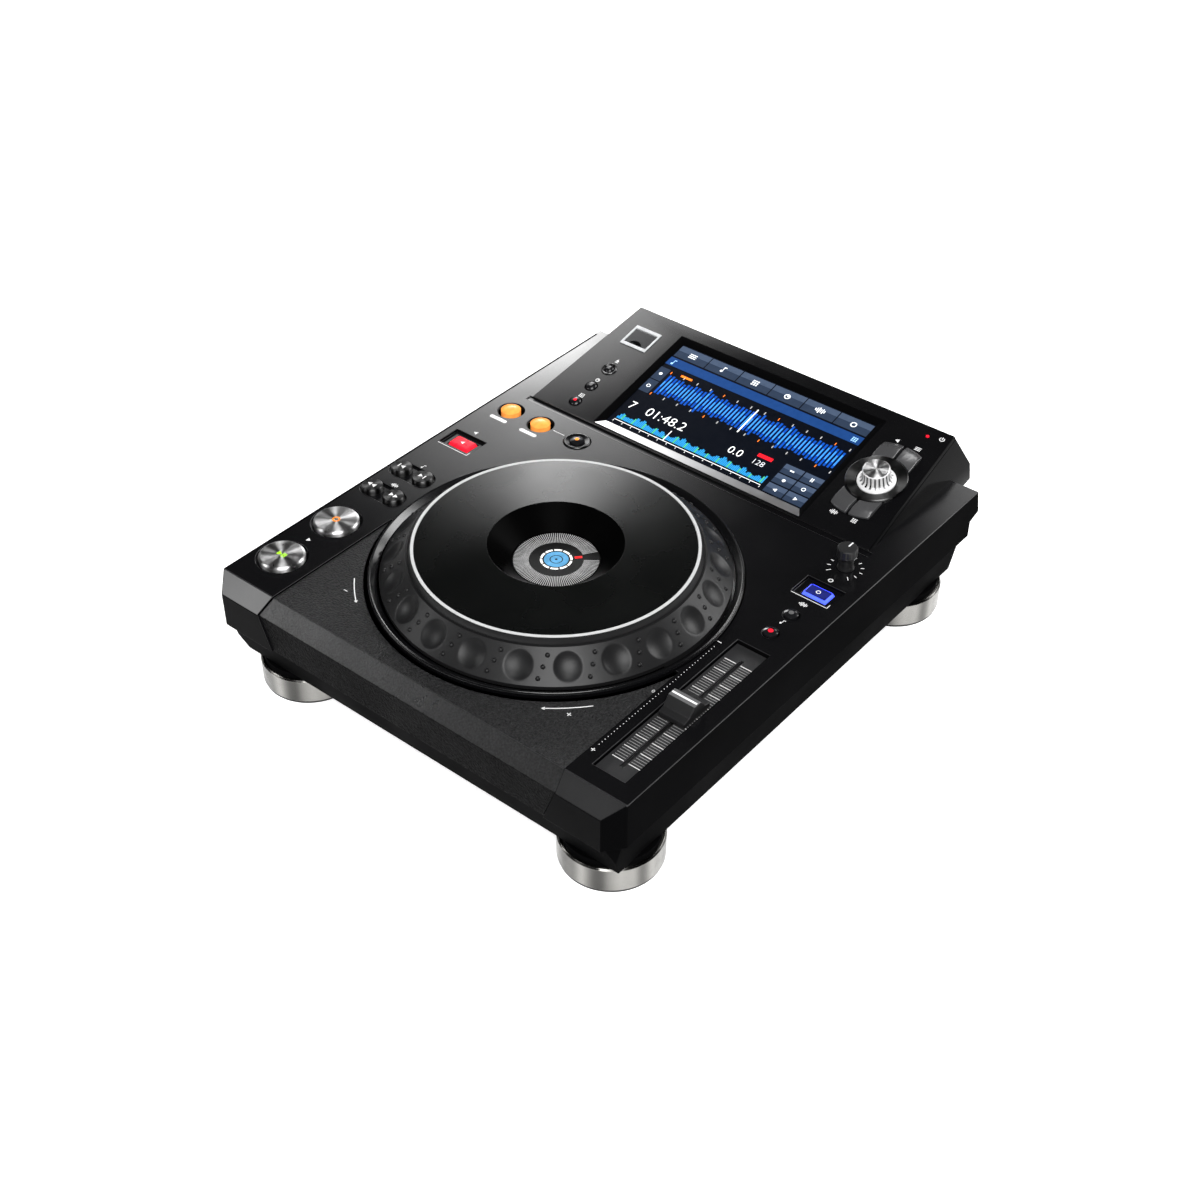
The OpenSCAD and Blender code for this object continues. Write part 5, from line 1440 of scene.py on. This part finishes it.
    def fader(self) -> None:
        """Build the tempo fader: its plate, its lines and its cap."""
        clad("fader_bed", "fader_plate", self.edge * 0.5, PLATE_GREY, "grey_plastic")
        low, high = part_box("fader_plate")
        at = Matrix.Translation(((low.x + high.x) / 2, (low.y + high.y) / 2, high.z))
        fine, bold = Marks("fader_fine_lines", at), Marks("fader_bold_lines", at)
        for k in range(-25, 26):
            lines, long = (fine, 0) if k % 5 else (bold, 0.6 * MM)
            for side in (-1, 1):
                lines.bar(side * 5.5 * MM, k * 2 * MM, 7.2 * MM + long, 0.3 * MM if k % 5 else 0.45 * MM)
        fine.finish(INK_GREY)
        bold.finish(INK_WHITE)
        cap = Piece("fader_grip", "fader_cap")
        cap.solid("fader_cap", self.edge * 1.4, segments=3)
        for f in cap.mesh.faces:
            f.material_index = int(f.calc_center_median().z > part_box("fader_cap")[1].z - 0.2 * MM)
        cap.finish(CAP_BLACK, CAP_TOP, replaces=("fader_cap",), slot="soft_black")
        # The ridge line is a print that glows: painted light.
        ridge = Marks("fader_ridge", self.stand("fader_cap"), "fader_cap", lift=0.2 * MM)
        ridge.bar(0, 0, 16.6 * MM, 1.2 * MM)
        ridge.finish(PAINTED_GLOW_WHITE)
        dress(SHEET, "fader_unit")

    def trim_prints(self) -> None:
        """Print the two arrows round the jog wheel with their signs."""
        jog = middle("jog_dial")
        trim = Marks("trim_prints", Matrix.Translation((0, 0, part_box("front_trim")[1].z)))
        for start, end in ((222.6, 233.0), (320.0, 307.0)):
            start, end = math.radians(start), math.radians(end)
            trim.arc(self.arrow_r - 0.3 * MM, self.arrow_r + 0.3 * MM, start, end - start, jog.x, jog.y)
            tip = jog + self.arrow_r * Vector((math.cos(end), math.sin(end), 0))
            trim.triangle(tip.x, tip.y, 1.4 * MM, end + math.copysign(math.pi / 2, end - start))
            x = jog.x + self.sign_r * math.cos((start + end) / 2)
            y = jog.y + self.sign_r * math.sin((start + end) / 2)
            trim.sign(x, y, 2.8 * MM, plus=end < start)
        trim.finish(INK_WHITE)

    def deck_prints(self) -> None:
        """Print the fader's scale and the symbols, lines and pills beside the buttons."""
        deck = Marks("deck_prints", Matrix.Translation((0, 0, self.deck)))
        low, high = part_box("fader_plate")
        mid, scale_x = (low.y + high.y) / 2, low.x - 3.6 * MM
        for k in range(-20, 21):
            deck.dot(scale_x, mid + k * 2.55 * MM, 0.28 * MM, 8)
        deck.figures("0", scale_x - 4.4 * MM, mid - 1.2 * MM, 3.4 * MM)
        deck.sign(scale_x, mid + 56 * MM, 2.6 * MM, plus=False)
        deck.sign(scale_x, mid - 56 * MM, 2.6 * MM, plus=True)
        for node, icon in (("search_back", Icon.WAVE), ("track_back", Icon.NOTE)):
            spot = middle(node)
            deck.icon(icon, spot.x + 9.2 * MM, spot.y + 10.4 * MM, 3 * MM)
        for node in ("loop_in", "loop_out"):
            spot = middle(node)
            deck.bar(spot.x, spot.y - 12.6 * MM, 11 * MM, 3 * MM)
            for side in (-1, 1):
                start = -side * math.pi / 2
                deck.arc(
                    0.02 * MM, 1.5 * MM, start, math.pi, spot.x + side * 5.5 * MM, spot.y - 12.6 * MM
                )
        first, last = middle("loop_out"), middle("reloop_button")
        deck.bar((first.x + last.x) / 2, first.y, last.x - first.x - 22 * MM, 0.4 * MM)
        for node, icon in (
            ("direction_button", Icon.LEFT), ("jog_mode_button", Icon.RING), ("tempo_range", Icon.WAVE),
            ("master_tempo", Icon.NOTE), ("play_button", Icon.PLAY),
        ):
            deck.icon(icon, middle(node).x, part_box(node)[1].y + 6.6 * MM, 3.2 * MM)
        for node in ("jog_mode_button", "direction_button"):
            key = middle(node)
            deck.bar(key.x, key.y - 10.2 * MM, 25 * MM, 0.4 * MM)
            deck.bar(key.x + 12.5 * MM, key.y - 8.4 * MM, 0.4 * MM, 3.6 * MM)
        deck.finish(INK_WHITE)

    def painted_edge_shade(self) -> None:
        """Lay a dark line along the deck's left edge: painted shade for the edge's dark outline."""
        low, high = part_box("upper_case")
        rim = Marks("painted_edge_shade", Matrix.Translation((0, 0, self.deck)))
        rim.bar(low.x + 1.1 * MM, (low.y + high.y) / 2 + 20 * MM, 1.1 * MM, high.y - low.y - 60 * MM)
        rim.finish(SATIN_BLACK)


@dataclass
class Back:
    """The rear panel with its sockets, and what lies inside the case."""

    edge: float = 0.15 * MM

    def build(self) -> None:
        """Dress the rear side and the inside."""
        clad("rear_plate", "rear_panel", self.edge, REAR_BLACK, "satin_black")
        dress(CAP_BLACK, "power_inlet", "power_switch")
        dress(SHEET, "data_sockets", "audio_sockets")
        dress(BOARD, "control_boards", "main_board", "power_unit")
        self.prints()

    def prints(self) -> None:
        """Print a symbol over each socket and a frame round each group."""
        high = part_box("rear_panel")[1]
        turn = Matrix.Rotation(-math.pi / 2, 4, "X") @ Matrix.Rotation(math.pi, 4, "Z")
        marks = Marks("rear_prints", Matrix.Translation((0, high.y, 0)) @ turn)
        for node, icon in (
            ("power_inlet", Icon.POWER), ("power_switch", Icon.STOP_BAR), ("data_sockets", Icon.GRID),
            ("audio_sockets", Icon.NOTE),
        ):
            start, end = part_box(node)
            marks.icon(icon, -(start.x + end.x) / 2, high.z - 2.2 * MM, 2.6 * MM)
            if node != "power_inlet":
                for side in (start.x - 2 * MM, end.x + 2 * MM):
                    marks.bar(-side, high.z - 3.6 * MM, 0.3 * MM, 2.4 * MM)
        marks.finish(INK_GREY)


@dataclass
class Studio:
    """A pale floor, soft light and the camera of the photograph."""

    floor_half: float = 40.0
    lens: float = 53.675
    eye: Color = (0.5435, -0.6864, 0.7394)
    right: Color = (0.7738, 0.6334, 0.003)
    down: Color = (0.4036, -0.4895, -0.773)
    forward: Color = (-0.4882, 0.5993, -0.6344)
    ambient: float = 0.1

    def build(self) -> None:
        """Set the floor, the light and the camera."""
        bpy.context.scene.view_settings.view_transform = "Standard"
        self.floor()
        world = bpy.data.worlds.new("room")
        world.use_nodes = True
        world.node_tree.nodes["Background"].inputs["Strength"].default_value = self.ambient
        bpy.context.scene.world = world
        self.lamp("softbox", (-0.5, 0.536, 0.368), (0.358, 0.183), 1.3, fade=True)
        self.lamp("wide_softbox", (-0.306, 0.279, 0.257), (0.491, 0.303), 0.5, fade=True)
        self.lamp("front", (1.1, -1.3, 1.9), (1.5, 1.5), 70)
        self.lamp("top", (0.35, -0.3, 2.2), (0.7, 0.7), 10)
        self.lamp("left", (-0.43, -0.425, 0.39), (0.3, 0.3), 0.9, fade=True)
        self.lamp("low_left", (-0.06, -0.44, 0.39), (0.22, 0.22), 0.1, fade=True)
        self.lamp("rear_right", (-0.036, 0.6, 0.37), (0.16, 0.24), 0.18, fade=True)
        self.lamp("back", (0.9, 1.7, 1.1), (1.2, 1.2), 30)
        self.camera()

    def floor(self) -> None:
        """Lay the floor, which glows a little so that it stays pale."""
        made = bmesh.new()
        bmesh.ops.create_grid(made, x_segments=4, y_segments=4, size=self.floor_half)
        data = bpy.data.meshes.new("floor")
        made.to_mesh(data)
        made.free()
        white = Lit("floor_white", (0.8, 0.8, 0.8), glow=0.85, rough=0.9, blotch=0.01)
        data.materials.append(white.material())
        floor = bpy.data.objects.new("floor", data)
        bpy.context.scene.collection.objects.link(floor)

    def lamp(self, name: str, place: Color, size: Point, power: float, fade: bool = False) -> None:
        """Hang a soft lamp that faces the object.

        Args:
            name: The lamp's name.
            place: Where it hangs.
            size: Its width and height.
            power: Its power in watts.
            fade: Whether its light fades from its middle to its edges.
        """
        data = bpy.data.lights.new(name, "AREA")
        data.shape, data.size, data.size_y, data.energy = "RECTANGLE", *size, power
        if fade:
            self.fade(data)
        lamp = bpy.data.objects.new(name, data)
        lamp.location = place
        lamp.rotation_euler = (-Vector(place)).to_track_quat("-Z", "Y").to_euler()
        lamp.visible_camera = False
        bpy.context.scene.collection.objects.link(lamp)

    def fade(self, data: bpy.types.Light) -> None:
        """Let a lamp's light fade smoothly towards its edges."""
        data.use_nodes = True
        tree = data.node_tree
        across = tree.nodes.new("ShaderNodeNewGeometry").outputs["Parametric"]
        away = tree.nodes.new("ShaderNodeVectorMath")
        away.operation = "DISTANCE"
        away.inputs[1].default_value = (0.5, 0.5, 0)
        tree.links.new(across, away.inputs[0])
        fall = tree.nodes.new("ShaderNodeMapRange")
        fall.interpolation_type = "SMOOTHERSTEP"
        for key, value in (("From Min", 0.05), ("From Max", 0.5), ("To Min", 3.0), ("To Max", 0.0)):
            fall.inputs[key].default_value = value
        tree.links.new(away.outputs["Value"], fall.inputs["Value"])
        tree.links.new(fall.outputs["Result"], tree.nodes["Emission"].inputs["Strength"])

    def camera(self) -> None:
        """Stand the camera where the photograph was taken."""
        data = bpy.data.cameras.new("camera")
        data.lens, data.clip_start, data.clip_end = self.lens, 0.01, 50
        camera = bpy.data.objects.new("camera", data)
        turn = Matrix((self.right, -Vector(self.down), -Vector(self.forward))).transposed()
        camera.matrix_world = Matrix.Translation(self.eye) @ turn.to_4x4()
        bpy.context.scene.collection.objects.link(camera)
        bpy.context.scene.camera = camera


def main() -> None:
    """Build every sub-assembly."""
    logging.basicConfig(level=logging.INFO, format="%(message)s")
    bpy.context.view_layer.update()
    head = Display()
    for part in (Case(), Jog(), head, Screen(head), Controls(), Back()):
        part.build()
    Studio().build()


if __name__ == "__main__":
    main()
